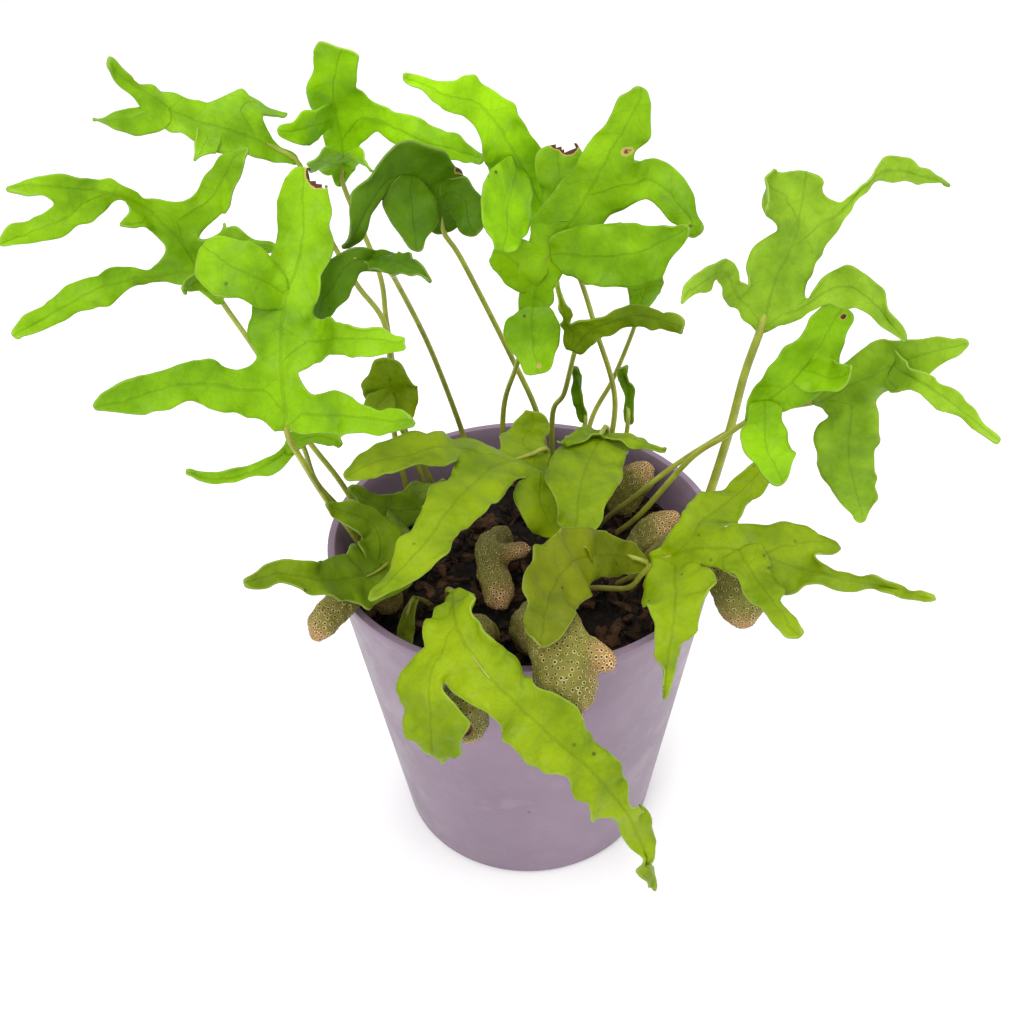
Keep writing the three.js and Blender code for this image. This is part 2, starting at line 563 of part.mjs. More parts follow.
const FRONDS = {
  frond_01: {
    foot: [-53, -24, 148],
    face: [0, -0.8, 0.6],
    wide: [5, 8.5, 8, 14, 15.5, 12.5, 13, 14, 14.5],
    opens: 4,
    point: -1,
    stipe: [[-43, 3, 88], [-46, -3, 104], [-50, -8, 118], [-52, -19, 138]],
    rib: [[0, 4, 13], [1, 12, 26], [5, 20, 36], [7, 28, 52]],
    lobes: [
      { at: 0.17, mid: [-19, -6, 18], tip: [-35, -16, 18], wide: [12.5, 11.5, 8.5, 10.5, 8, 10.5, 6.5] },
      { at: 0.50, mid: [-7, 10, 36], tip: [-15, 16, 39], wide: [10.5, 12.5, 14.5, 13.5], point: -0.5 },
      { at: 0.12, mid: [15, -6, 9], tip: [30, -14, 12], wide: [10, 7.5, 10.5, 7, 9, 6.5] },
      { at: 0.35, mid: [16, -2, 26], tip: [30, -6, 27], wide: [10.5, 9, 10, 8, 6.5] },
    ],
  },
  frond_02: {
    foot: [-72, 12, 163],
    face: [-0.1, -0.75, 0.65],
    wide: [2.5, 6, 7, 6.5, 3.5, 5, 6, 8.5, 5.5, 3],
    opens: 4,
    point: 0.5,
    stipe: [[-42, 12, 88], [-49, 9.5, 110], [-57, 8, 128], [-65, 12, 147]],
    rib: [[-5, 2, 9], [-7, 2, 15], [-11, 1, 21], [-13, 0, 25], [-16, -3, 29], [-19, -7, 32], [-27, -12, 35], [-37, -16, 38]],
    lobes: [
      { at: 0.09, mid: [-6, -4, 9], tip: [-6, -10, 8], wide: [7.5, 7.5, 7.5] },
      { at: 0.22, mid: [-27, -6, 8], tip: [-45, -18, 2], wide: [4, 5, 6, 7.5, 10, 8, 5.5] },
      { at: 0.42, mid: [-14, -3, 22], tip: [-17, -8, 23], wide: [4, 5, 4] },
      { at: 0.75, mid: [-31, -16, 28], tip: [-38, -22, 27], wide: [6.5, 7.5, 7.5, 5.5] },
      { at: 0.14, mid: [7, -6, 20], tip: [18, -12, 19], wide: [5, 5.5, 5, 6.5] },
      { at: 0.28, mid: [0, 4, 24], tip: [9, 6, 36], wide: [5, 6.5, 12, 9.5, 3] },
    ],
  },
  frond_03: {
    foot: [-53, 34, 189],
    face: [-0.2, -0.5, 0.85],
    wide: [2.5, 4.5, 9.5, 13.5, 13.5, 12.5, 8, 7, 4],
    opens: 4,
    point: 0.4,
    stipe: [[-33, 27, 88], [-36, 29, 116], [-35, 28, 146], [-42, 30, 159], [-50, 32, 177]],
    rib: [[-8, 0, 6], [-18, -2, 10], [-28, -6, 17], [-38, -12, 28]],
    lobes: [
      { at: 0.68, mid: [-34, -14, 17], tip: [-40, -20, 19], wide: [7.5, 6.5, 6.5, 4.5] },
      { at: 0.33, mid: [-10, 10, 11], tip: [-4, 14, 8], wide: [7.5, 7, 5.5] },
      { at: 0.42, mid: [-20, -8, 8], tip: [-22, -14, 7], wide: [8.5, 7.5, 5] },
    ],
  },
  frond_04: {
    foot: [-44, 42, 180],
    face: [0, -1, 0.35],
    wide: [3.5, 7, 10.5, 13, 12.5, 13, 14.5],
    opens: 4,
    point: -0.5,
    stipe: [[-28, 32, 88], [-34, 36, 112], [-36, 38, 142], [-37, 40, 157]],
    rib: [[1, 0, 9], [0, 0, 18], [1, -4, 27], [5, -10, 37]],
    lobes: [
      { at: 0.40, mid: [-6, -8, 18], tip: [-11, -16, 20], wide: [9.5, 9.5, 7.5, 5] },
      { at: 0.39, mid: [20, -6, 14], tip: [37, -16, 12], wide: [8.5, 5, 7.5, 10, 8.5, 5, 3] },
      { at: 0.17, mid: [-3, -8, 10], tip: [-6, -16, 14], wide: [8] },
      { at: 0.26, mid: [5, -6, 10], tip: [10, -12, 9], wide: [6] },
    ],
  },
  frond_05: {
    foot: [-18, 27, 173],
    face: [0, -1, 0.3],
    wide: [7, 14.5, 17.5, 17, 13.5, 10.5, 7],
    opens: 5,
    stipe: [[8, 40, 88], [5, 43, 108], [-2, 42, 128], [-14, 30, 164]],
    rib: [[-1, -3, 11], [-6, -9, 19], [-12, -17, 21], [-16, -23, 16], [-21, -25, 8]],
    lobes: [
      { at: 0.22, mid: [5, -2, 12], tip: [7, -7, 1], wide: [12, 12, 10, 8.5] },
      { at: 0.41, mid: [-6, -14, 12], tip: [-6, -18, 4], wide: [12.5, 15.5, 14.5, 12.5], face: [0, -1, 0.5] },
    ],
  },
  frond_06: {
    foot: [9, 34, 172],
    face: [0.1, -1, 0.35],
    wide: [3.5, 8, 12, 13, 12, 10, 12.5, 8, 4],
    opens: 5,
    point: 0.6,
    stipe: [[23, 35, 88], [27, 38, 115], [21, 38, 139], [16, 37, 156]],
    rib: [[-6, -4, 13], [-11, -9, 25], [-17, -12, 35], [-24, -14, 37], [-29, -15, 40], [-33, -16, 43]],
    lobes: [
      { at: 0.38, mid: [-11, -17, 12], tip: [-12, -25, 4], wide: [13, 15, 16, 16, 15], point: 0 },
    ],
  },
  frond_07: {
    foot: [3, 20, 152],
    face: [0, -1, 0.5],
    wide: [7.5, 8, 11, 13.5, 15, 13.5, 14, 16.5, 7.5],
    opens: 4,
    stipe: [[-6, 39, 88], [-5, 40, 113], [-1, 30, 133]],
    rib: [[3, -4, 17], [10, -6, 29], [17, -6, 43], [21, -7, 51], [26, -8, 60]],
    lobes: [
      { at: 0.08, mid: [0, -4, -2], tip: [2, -10, -10], wide: [10.5, 17, 17.5, 15], face: [0.1, -0.9, 0.4] },
      { at: 0.20, mid: [-3, -3, 17], tip: [-8, -7, 24], wide: [15, 13.5, 11.5] },
      { at: 0.49, mid: [7, -2, 38], tip: [7, 0, 46], wide: [13.5, 13, 12.5, 13.5], point: -0.7 },
      { at: 0.33, folded: true, mid: [22, -14, 24], tip: [36, -17, 32], wide: [12, 13.5, 16.5, 17, 14.5, 10.5] },
      { at: 0.69, mid: [29, -2, 38], tip: [40, -12, 28], wide: [11.5, 11.5, 10.5, 9.5, 8, 7.5], point: 0 },
    ],
  },
  frond_08: {
    foot: [14, 16, 145],
    face: [0, -0.8, 0.6],
    wide: [2.5, 7, 3.5, 5.5, 6.5, 7.5],
    opens: 3,
    point: 0,
    stipe: [[9, 34, 88], [9, 36, 113], [12, 30, 124]],
    rib: [[3, -4, 8], [9, -8, 13], [16, -14, 18], [24, -22, 18]],
    lobes: [
      { at: 0.20, mid: [-3, -7, 15], tip: [-5, -9, 23], wide: [4.5, 3.5, 2.5] },
    ],
  },
  frond_09: {
    foot: [32, 44, 136],
    face: [0, -1, 0.3],
    wide: [5, 8, 9],
    opens: 8,
    stipe: [[16, 36, 88], [21, 47, 104], [27, 48, 117]],
    rib: [[1, -2, 9], [3, -4, 16], [5, -8, 25]],
    lobes: [
      { at: 0.53, mid: [-2, -4, 18], tip: [-5, -8, 24], wide: [6] },
    ],
  },
  frond_10: {
    foot: [56, -4, 161],
    face: [0, -1, 0.45],
    wide: [5, 9, 15, 14, 10.5, 10, 15],
    opens: 4,
    point: -0.8,
    stipe: [[42, -2, 88], [47, 0, 101], [52, 0, 128], [54, -2, 148]],
    rib: [[1, 0, 7], [3, 2, 14], [7, 6, 20], [9, 12, 33]],
    lobes: [
      { at: 0.2, mid: [-12, -10, 21], tip: [-23, -24, 21], wide: [8, 5.5, 5, 5.5, 5.5] },
      { at: 0.9, mid: [-1, 6, 34], tip: [-2, -2, 31], wide: [7.5, 7, 6, 4.5] },
      { at: 0.2, mid: [18, -2, 13], tip: [29, -14, 5], wide: [8, 4, 7, 11.5, 7, 4.5, 3] },
      { at: 0.66, mid: [27, 16, 32], tip: [44, 20, 26], wide: [7, 4, 2, 3.5, 5, 5, 3, 2.5] },
    ],
  },
  frond_11: {
    foot: [55, -10, 141],
    face: [0.1, -0.9, 0.5],
    wide: [4, 6.5, 13, 16.5, 14.5, 14, 14.5],
    opens: 4,
    point: -0.3,
    stipe: [[26, 12, 88], [32, 8, 98], [43, 0, 122], [50, -6, 133]],
    rib: [[6, -2, 9], [13, 2, 15], [20, 8, 26]],
    lobes: [
      { at: 0.16, mid: [1, -12, 1], tip: [4, -20, -4], wide: [7.5, 13, 14.5, 9], face: [0.1, -0.5, 0.87] },
      { at: 0.50, mid: [15, -6, 14], tip: [18, -10, 18], wide: [10, 9.5, 8.5] },
    ],
  },
  frond_12: {
    foot: [74, 4, 136],
    face: [0.1, -0.8, 0.6],
    wide: [5.5, 8.5, 11, 13, 12, 10, 7.5],
    opens: 4,
    stipe: [[23, 18, 88], [31, 16, 98], [45, 13, 114], [62, 8, 130]],
    rib: [[5, -10, 11], [14, -17, 22], [25, -22, 29]],
    lobes: [
      { at: 0.24, folded: false, mid: [6, -11, -5], tip: [13, -14, -28], wide: [14, 17.5, 15.5, 13, 12, 12, 11] },
      { at: 0.57, mid: [18, -34, 22], tip: [26, -46, 19], wide: [12, 6, 3.5, 5.5, 6.5, 5, 3] },
    ],
  },
  frond_13: {
    foot: [7, 14, 115],
    face: [-0.1, -0.4, 0.9],
    wide: [7.5, 12, 15, 15.5, 12.5, 15, 7],
    opens: 4,
    stipe: [[9, 27, 88]],
    rib: [[-13, -16, 8], [-23, -36, 12], [-31, -52, 10], [-41, -64, 7]],
    lobes: [
      { at: 0.04, mid: [-4, 12, 0], tip: [-4, 14, 5], wide: [10.5, 12.5, 13.5] },
      { at: 0.32, mid: [-30, -18, 15], tip: [-49, -32, 18], wide: [11.5, 12, 11.5, 15, 14.5, 11] },
      { at: 0.15, mid: [-3, -20, 1], tip: [1, -24, -9], wide: [11.5, 13, 14, 12.5], point: 0 },
    ],
  },
  frond_14: {
    foot: [24, 26, 114],
    face: [0, -0.5, 0.87],
    wide: [10.5, 17, 18.5, 18, 17.5, 16.5],
    opens: 3,
    point: -1,
    stipe: [[24, 25, 88]],
    rib: [[-3, -8, 2], [-8, -26, 5], [-10, -36, 3], [-11, -42, -2]],
    lobes: [
      { at: 0.15, mid: [5, -8, 3], tip: [14, -16, 3], wide: [10, 6.5, 4, 3] },
      { at: 0.16, folded: true, mid: [-10, -10, 5], tip: [-14, -18, 8], wide: [8, 8.5, 7.5] },
    ],
  },
  frond_15: {
    foot: [32, -28, 112],
    face: [0.1, -0.5, 0.87],
    wide: [3.5, 4, 7.5, 11.5, 13.5, 14.5, 8, 5.5, 4.5, 2.5, 3],
    opens: 4,
    point: 0.5,
    crisp: 1.2,
    stipe: [[17, -13, 90], [26, -22, 98], [29, -26, 106]],
    rib: [[9, -4, 7], [19, -8, 9], [30, -14, 9], [40, -22, 12], [57, -28, 12]],
    lobes: [
      { at: 0.19, mid: [16, 10, 7], tip: [29, 22, 11], wide: [10, 13.5, 12.5, 10.5, 9], point: 0 },
      { at: 0.49, mid: [32, -8, 12], tip: [40, -8, 11], wide: [12.5, 11.5, 10.5], point: 0 },
      { at: 0.08, mid: [1, -26, 5], tip: [-2, -34, -11], wide: [7, 14, 17, 15.5, 11, 6.5, 4.5, 4], point: 0.1 },
      { at: 0.35, mid: [21, -24, 11], tip: [27, -34, 8], wide: [14.5, 10.5, 8, 7.5, 6] },
    ],
  },
  frond_16: {
    foot: [31, -22, 105],
    face: [-0.1, -0.6, 0.8],
    wide: [7, 9.5, 13.5, 18, 18.5, 15.5, 10],
    opens: 4,
    point: 0.1,
    stipe: [[24, -10, 88]],
    rib: [[-9, -2, 6], [-20, -14, 14], [-26, -30, 16], [-28, -42, 14]],
    lobes: [
      { at: 0.39, mid: [-21, 0, 7], tip: [-28, 2, 6], wide: [9.5, 9.5, 9.5] },
    ],
  },
  frond_17: {
    foot: [-17, -38, 112],
    face: [-0.3, -0.4, 0.87],
    wide: [4, 9, 13, 13, 14, 14, 12.5, 12, 10.5, 6, 4.5],
    opens: 3,
    crisp: 1.7,
    point: 0.4,
    stipe: [[-20, -16, 89], [-19, -28, 104]],
    rib: [[2, -18, 5], [9, -30, 2], [20, -36, -7], [32, -39, -20], [40, -40, -34], [47, -40, -61]],
    lobes: [
      { at: 0.22, mid: [-4, -32, -2], tip: [-4, -36, -20], wide: [8, 14, 16.5, 15, 14, 10], face: [-0.3, -0.8, 0.5] },
    ],
  },
  frond_18: {
    foot: [-33, -16, 105],
    face: [-0.1, -0.8, 0.6],
    wide: [10.5, 16.5, 14, 10.5, 7.5, 7.5],
    opens: 4,
    point: 0.2,
    stipe: [[-33, 9, 88]],
    rib: [[-5, -15, 7], [-13, -26, 15], [-21, -30, 21], [-30, -34, 22]],
    lobes: [
      { at: 0.19, mid: [-4, 2, 9], tip: [-15, -2, 18], wide: [12.5, 13, 10.5, 8, 6] },
    ],
  },
  frond_19: {
    foot: [-25, 14, 98],
    face: [0, -0.6, 0.8],
    wide: [9],
    opens: 9,
    stipe: [[-22, 20, 86]],
    rib: [[-7, -6, 3], [-14, -10, 8], [-20, -12, 16]],
    lobes: [
      { at: 0.36, mid: [-8, -16, 6], tip: [-8, -22, 6], wide: [8] },
      { at: 0.28, mid: [-2, 4, 2], tip: [3, 8, 2], wide: [8] },
    ],
  },
  frond_20: {
    foot: [-54, -8, 135],
    face: [0, -0.8, 0.6],
    wide: [2.5, 4.5, 4.5, 3.5],
    opens: 4,
    point: 0.6,
    stipe: [[-42, 7.5, 88], [-49, 3, 106], [-53, -3, 120]],
    rib: [[-4, -4, 0], [-10, -6, -3], [-18, -8, -5], [-26, -10, -1]],
    lobes: [
      { at: 0.06, mid: [4, 2, 2], tip: [10, 4, -4], wide: [5] },
    ],
  },
  frond_21: {
    foot: [-33, 18, 123],
    face: [0, -0.9, 0.5],
    wide: [8.5, 15, 15.5, 11.5],
    opens: 4,
    point: 0,
    stipe: [[-24, 28, 88], [-28, 25, 104]],
    rib: [[-1, 0, 8], [-1, -2, 16], [-1, -2, 22]],
    lobes: [
      { at: 0.38, mid: [-5, -4, 8], tip: [-8, -8, 7], wide: [9] },
    ],
  },
  frond_22: {
    foot: [-30, 2, 176],
    face: [0, -0.8, 0.6],
    wide: [4, 8, 10.5, 10],
    opens: 6,
    stipe: [[-14, 40, 88], [-18, 42, 106], [-24, 30, 139], [-29, 12, 167]],
    rib: [[-3, -1, 4], [-9, -4, 3], [-18, -4, -10]],
    lobes: [
      { at: 0.18, mid: [6, -18, 10], tip: [12, -26, 10], wide: [7, 6.5, 5] },
    ],
  },
  frond_23: {
    foot: [18, 32, 112],
    face: [0, -1, 0.3],
    wide: [3, 3.5],
    opens: 6,
    point: 0.9,
    stipe: [[12, 30, 88]],
    rib: [[-1, 1, 8], [-2, 0, 14], [-4, -2, 20]],
    lobes: [],
  },
  frond_24: {
    foot: [30, 30, 113],
    face: [-0.2, -1, 0.3],
    wide: [3, 3.5],
    opens: 6,
    point: 0.9,
    stipe: [[28, 31, 88]],
    rib: [[0, 2, 7], [-1, 2, 14], [-3, -2, 20]],
    lobes: [],
  },
  frond_25: {
    foot: [-29, -20, 94],
    face: [0, -0.8, 0.6],
    wide: [5, 6],
    opens: 6,
    point: 0.9,
    stipe: [[-25, -16, 88]],
    rib: [[-1, -4, -2], [-1, -8, -3], [0, -12, -4]],
    lobes: [],
  },
};

const MATERIALS = {
  pot: new THREE.MeshStandardMaterial({ color: '#8d7f90', roughness: 0.55, metalness: 0 }),
  mix: new THREE.MeshStandardMaterial({ color: '#1d1712', roughness: 0.95, metalness: 0 }),
  rhizome: new THREE.MeshStandardMaterial({ color: '#87823a', roughness: 0.7, metalness: 0 }),
  frond: new THREE.MeshStandardMaterial({ color: '#6f9c1a', roughness: 0.45, metalness: 0 }),
};

const plant = new THREE.Group();
plant.name = 'potted_ant_fern';

function place(name, solid, material) {
  const mesh = new THREE.Mesh(geometryOf(solid), material);
  mesh.name = name;
  plant.add(mesh);
}

const frondEntries = Object.entries(FRONDS);
const holes = frondEntries.map(([, frond]) => stipeHole(frond));
const cutAll = (solid, cutters) => cutters.reduce((left, cutter) => left.subtract(cutter), solid);

place('pot', potSolid(), MATERIALS.pot);

let mix = mixSolid();
Object.values(RHIZOMES).forEach((rhizome, i) => {
  mix = mix.subtract(rhizomeSolid(rhizome, i + 1, BED_GAP));
});
place('potting_mix', cutAll(mix, holes), MATERIALS.mix);

Object.entries(RHIZOMES).forEach(([name, rhizome], i) => {
  place(name, cutAll(rhizomeSolid(rhizome, i + 1), holes), MATERIALS.rhizome);
});

frondEntries.forEach(([name, frond], i) => {
  place(name, frondSolid(frond, i + 1), MATERIALS.frond);
});

export default plant;
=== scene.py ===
"""A potted ant fern: swollen rhizomes that creep over the rim of a plastic nursery pot, and
lobed, wavy fronds on thin stipes that stand in the potting mix.

Metres, +Z up, the origin at the middle of the pot's underside and -Y towards the viewer.
The places in RHIZOMES and FRONDS are in millimetres.
"""

import math
import random

import bmesh
import bpy
from bpy.props import FloatProperty, FloatVectorProperty, IntProperty, PointerProperty
from bpy.types import Operator, Panel, PropertyGroup
from mathutils import Matrix, Vector, noise


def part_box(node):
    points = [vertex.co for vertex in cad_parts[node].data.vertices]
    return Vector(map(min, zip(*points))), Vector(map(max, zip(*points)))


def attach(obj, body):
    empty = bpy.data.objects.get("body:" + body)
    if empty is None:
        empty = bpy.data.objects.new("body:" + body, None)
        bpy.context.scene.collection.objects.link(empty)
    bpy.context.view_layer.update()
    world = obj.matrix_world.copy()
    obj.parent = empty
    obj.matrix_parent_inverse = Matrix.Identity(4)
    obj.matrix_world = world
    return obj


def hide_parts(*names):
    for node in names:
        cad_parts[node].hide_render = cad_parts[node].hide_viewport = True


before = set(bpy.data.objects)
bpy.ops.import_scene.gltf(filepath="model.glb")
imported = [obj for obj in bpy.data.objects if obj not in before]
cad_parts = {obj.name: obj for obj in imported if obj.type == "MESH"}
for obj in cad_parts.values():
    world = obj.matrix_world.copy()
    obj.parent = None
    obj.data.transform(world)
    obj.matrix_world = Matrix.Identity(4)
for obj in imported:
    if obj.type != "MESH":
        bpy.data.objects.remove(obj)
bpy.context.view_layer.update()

bl_info = {
    "name": "Potted Ant Fern",
    "version": (1, 0, 0),
    "blender": (4, 5, 0),
    "location": "View3D > Sidebar > Ant Fern",
    "description": "Models a potted ant fern over its packed frame",
    "category": "Object",
}

MM = 0.001

# Pot, in metres
POT_SIDES = 144
POT_BAND_HEIGHT = 0.0035
POT_BAND_PROUD = 0.0007
POT_FOOT_CHAMFER = 0.0015
POT_EDGE_ROUND = 0.0004
DRAIN_HOLES = 6
DRAIN_RADIUS = 0.0035
DRAIN_CIRCLE = 0.024
DRAIN_SIDES = 32

# Potting mix, in metres
MIX_GAP = 0.0003
MIX_RINGS = 44
MIX_SECTORS = 120
MIX_LUMP = 0.0016
CRUMB_REACH = 0.97
CRUMB_DENT = 0.28

# Rhizomes, in millimetres
TUBE_STEP = 1.5
TUBE_BLUNT = 0.9
TUBE_END_DROP = 0.75
TUBE_END_BULGE = 0.45
SKIN_VOXEL = 0.00062
SCALE_SPACING = 0.00128
SCALE_SIDES = 9
SCALE_LEAST = 0.34
SCALE_MOST = 0.46
SCALE_LIFT = 0.09
END_RINGS = (0.35, 0.65, 0.87, 0.985)
SCAR_DEPTH = 2.4
SCAR_SINK = 0.1

# Blades: the net's row, thicknesses, and how far edges run in and out, in millimetres or shares
ROW = 5.6
FEWEST_ROWS = 4
FACE_PULL = 0.45
FOOT_HALF_WIDTH = 1.3
EDGE_RUN = 0.08
EDGE_LIFT = 1.3
EDGE_WAVE = 0.5
TIP_DROP = 0.62
TIP_DROP_POINTED = 0.23
TIP_POWER = 5
TIP_POWER_POINTED = 3
BLADE_POINT = 0.3
LOBE_POINT = 0.25
LOBE_LEAVE = 0.6
LOBE_HEADING = 0.3
BEND_ROOM = 0.75
ROOT_HOLD = 0.8
LOBE_FOLD = 0.35
FOLD_ROOT = 0.3
NO_VEIN = 9.0
VEIN_SLANT = 0.7
ROOT_INSIDE = 4.0

# Stipes, in millimetres
STIPE_RADIUS = 0.85
STIPE_TAPER = 0.25
STIPE_STEP = 2.0
STIPE_SINK = 3.0
RIB_RUN = 0.34
RIB_END_RADIUS = 0.18
RIB_BEHIND = 0.8

# Leaves: the run of the browning round a tear, how ragged a tear is, and the leaf's own looks
BROWN_RUN = 1.3
TEAR_RAGGED = 0.35
SIDE_VEIN_GAP = 5.8
LEAF_SEE_THROUGH = 0.22

# The camera's place in metres, and the directions of its right, up and back
CAMERA_PLACE = (0.0, -0.2408154, 0.2936206)
CAMERA_RIGHT = (0.9997307, -0.00532895, -0.02258613)
CAMERA_UP = (0.02109631, 0.614192, 0.7888746)
CAMERA_BACK = (0.00966834, -0.78913864, 0.61413901)
CAMERA_LENS = 40.43
CAMERA_SENSOR = 36.0

# The stage, in metres
FLOOR_SIZE = 40
LAMP_AIM = (0, 0, 0.12)

RHIZOMES = {
    "rhizome_front": {
        "thick": 7.2,
        "run": [[2, -29, 91], [4, -39, 101], [6.5, -50, 109], [8.5, -60, 107], [9, -65.5, 99.5]],
        "horns": [{"thick": 3.4, "run": [[8, -51, 107], [15, -56, 108.6], [19.5, -58, 107]]}],
        "scars": [{"at": [10, -69, 103.5], "out": [0, -1, 0.4], "wide": 4}],
    },
    "rhizome_front_left": {
        "thick": 5.3,
        "run": [[-11, -33, 90], [-12, -42, 102], [-13, -51, 107.2], [-14, -60, 102],
            [-14, -62, 89]],
        "scars": [{"at": [-14, -66, 96], "out": [0.2, -1, 0.3], "wide": 3}],
    },
    "rhizome_left": {
        "thick": 4,
        "run": [[-35, -17, 90], [-37, -24, 101.5], [-42, -30, 106], [-47, -36, 104.4],
            [-51, -39, 100]],
    },
    "rhizome_right": {
        "thick": 6.2,
        "run": [[35, -7, 90], [40, -13, 101.5], [46, -21, 108.6], [52, -30, 104], [54, -34, 97]],
        "horns": [{"thick": 2.8, "run": [[46, -20, 108], [52, -20, 111], [56, -19, 111]]}],
    },
    "rhizome_right_inner": {
        "thick": 5.6,
        "run": [[30, 2, 87], [36, 3, 95], [41, 3, 100]],
    },
    "rhizome_back_right": {
        "thick": 5.2,
        "run": [[27, 24, 87], [31, 25, 95], [36, 26, 101]],
    },
    "rhizome_centre": {
        "thick": 4.4,
        "run": [[-6, 12, 88], [-9, 2, 92], [-8, -10, 92], [-6, -20, 91]],
        "horns": [{"thick": 2.6, "run": [[-9, 0, 92], [-3, -3, 95], [1, -4, 97]]}],
    },
    "rhizome_left_inner": {
        "thick": 3.2,
        "run": [[-37, 12, 87], [-42, 7, 92], [-44, 0, 91], [-42, -7, 88]],
    },
}


def lobe(at, mid, tip, wide, **more):
    """A lobe: its share of the rib, its middle and tip from the blade's foot, and its widths."""
    return {"at": at, "mid": mid, "tip": tip, "wide": wide, **more}


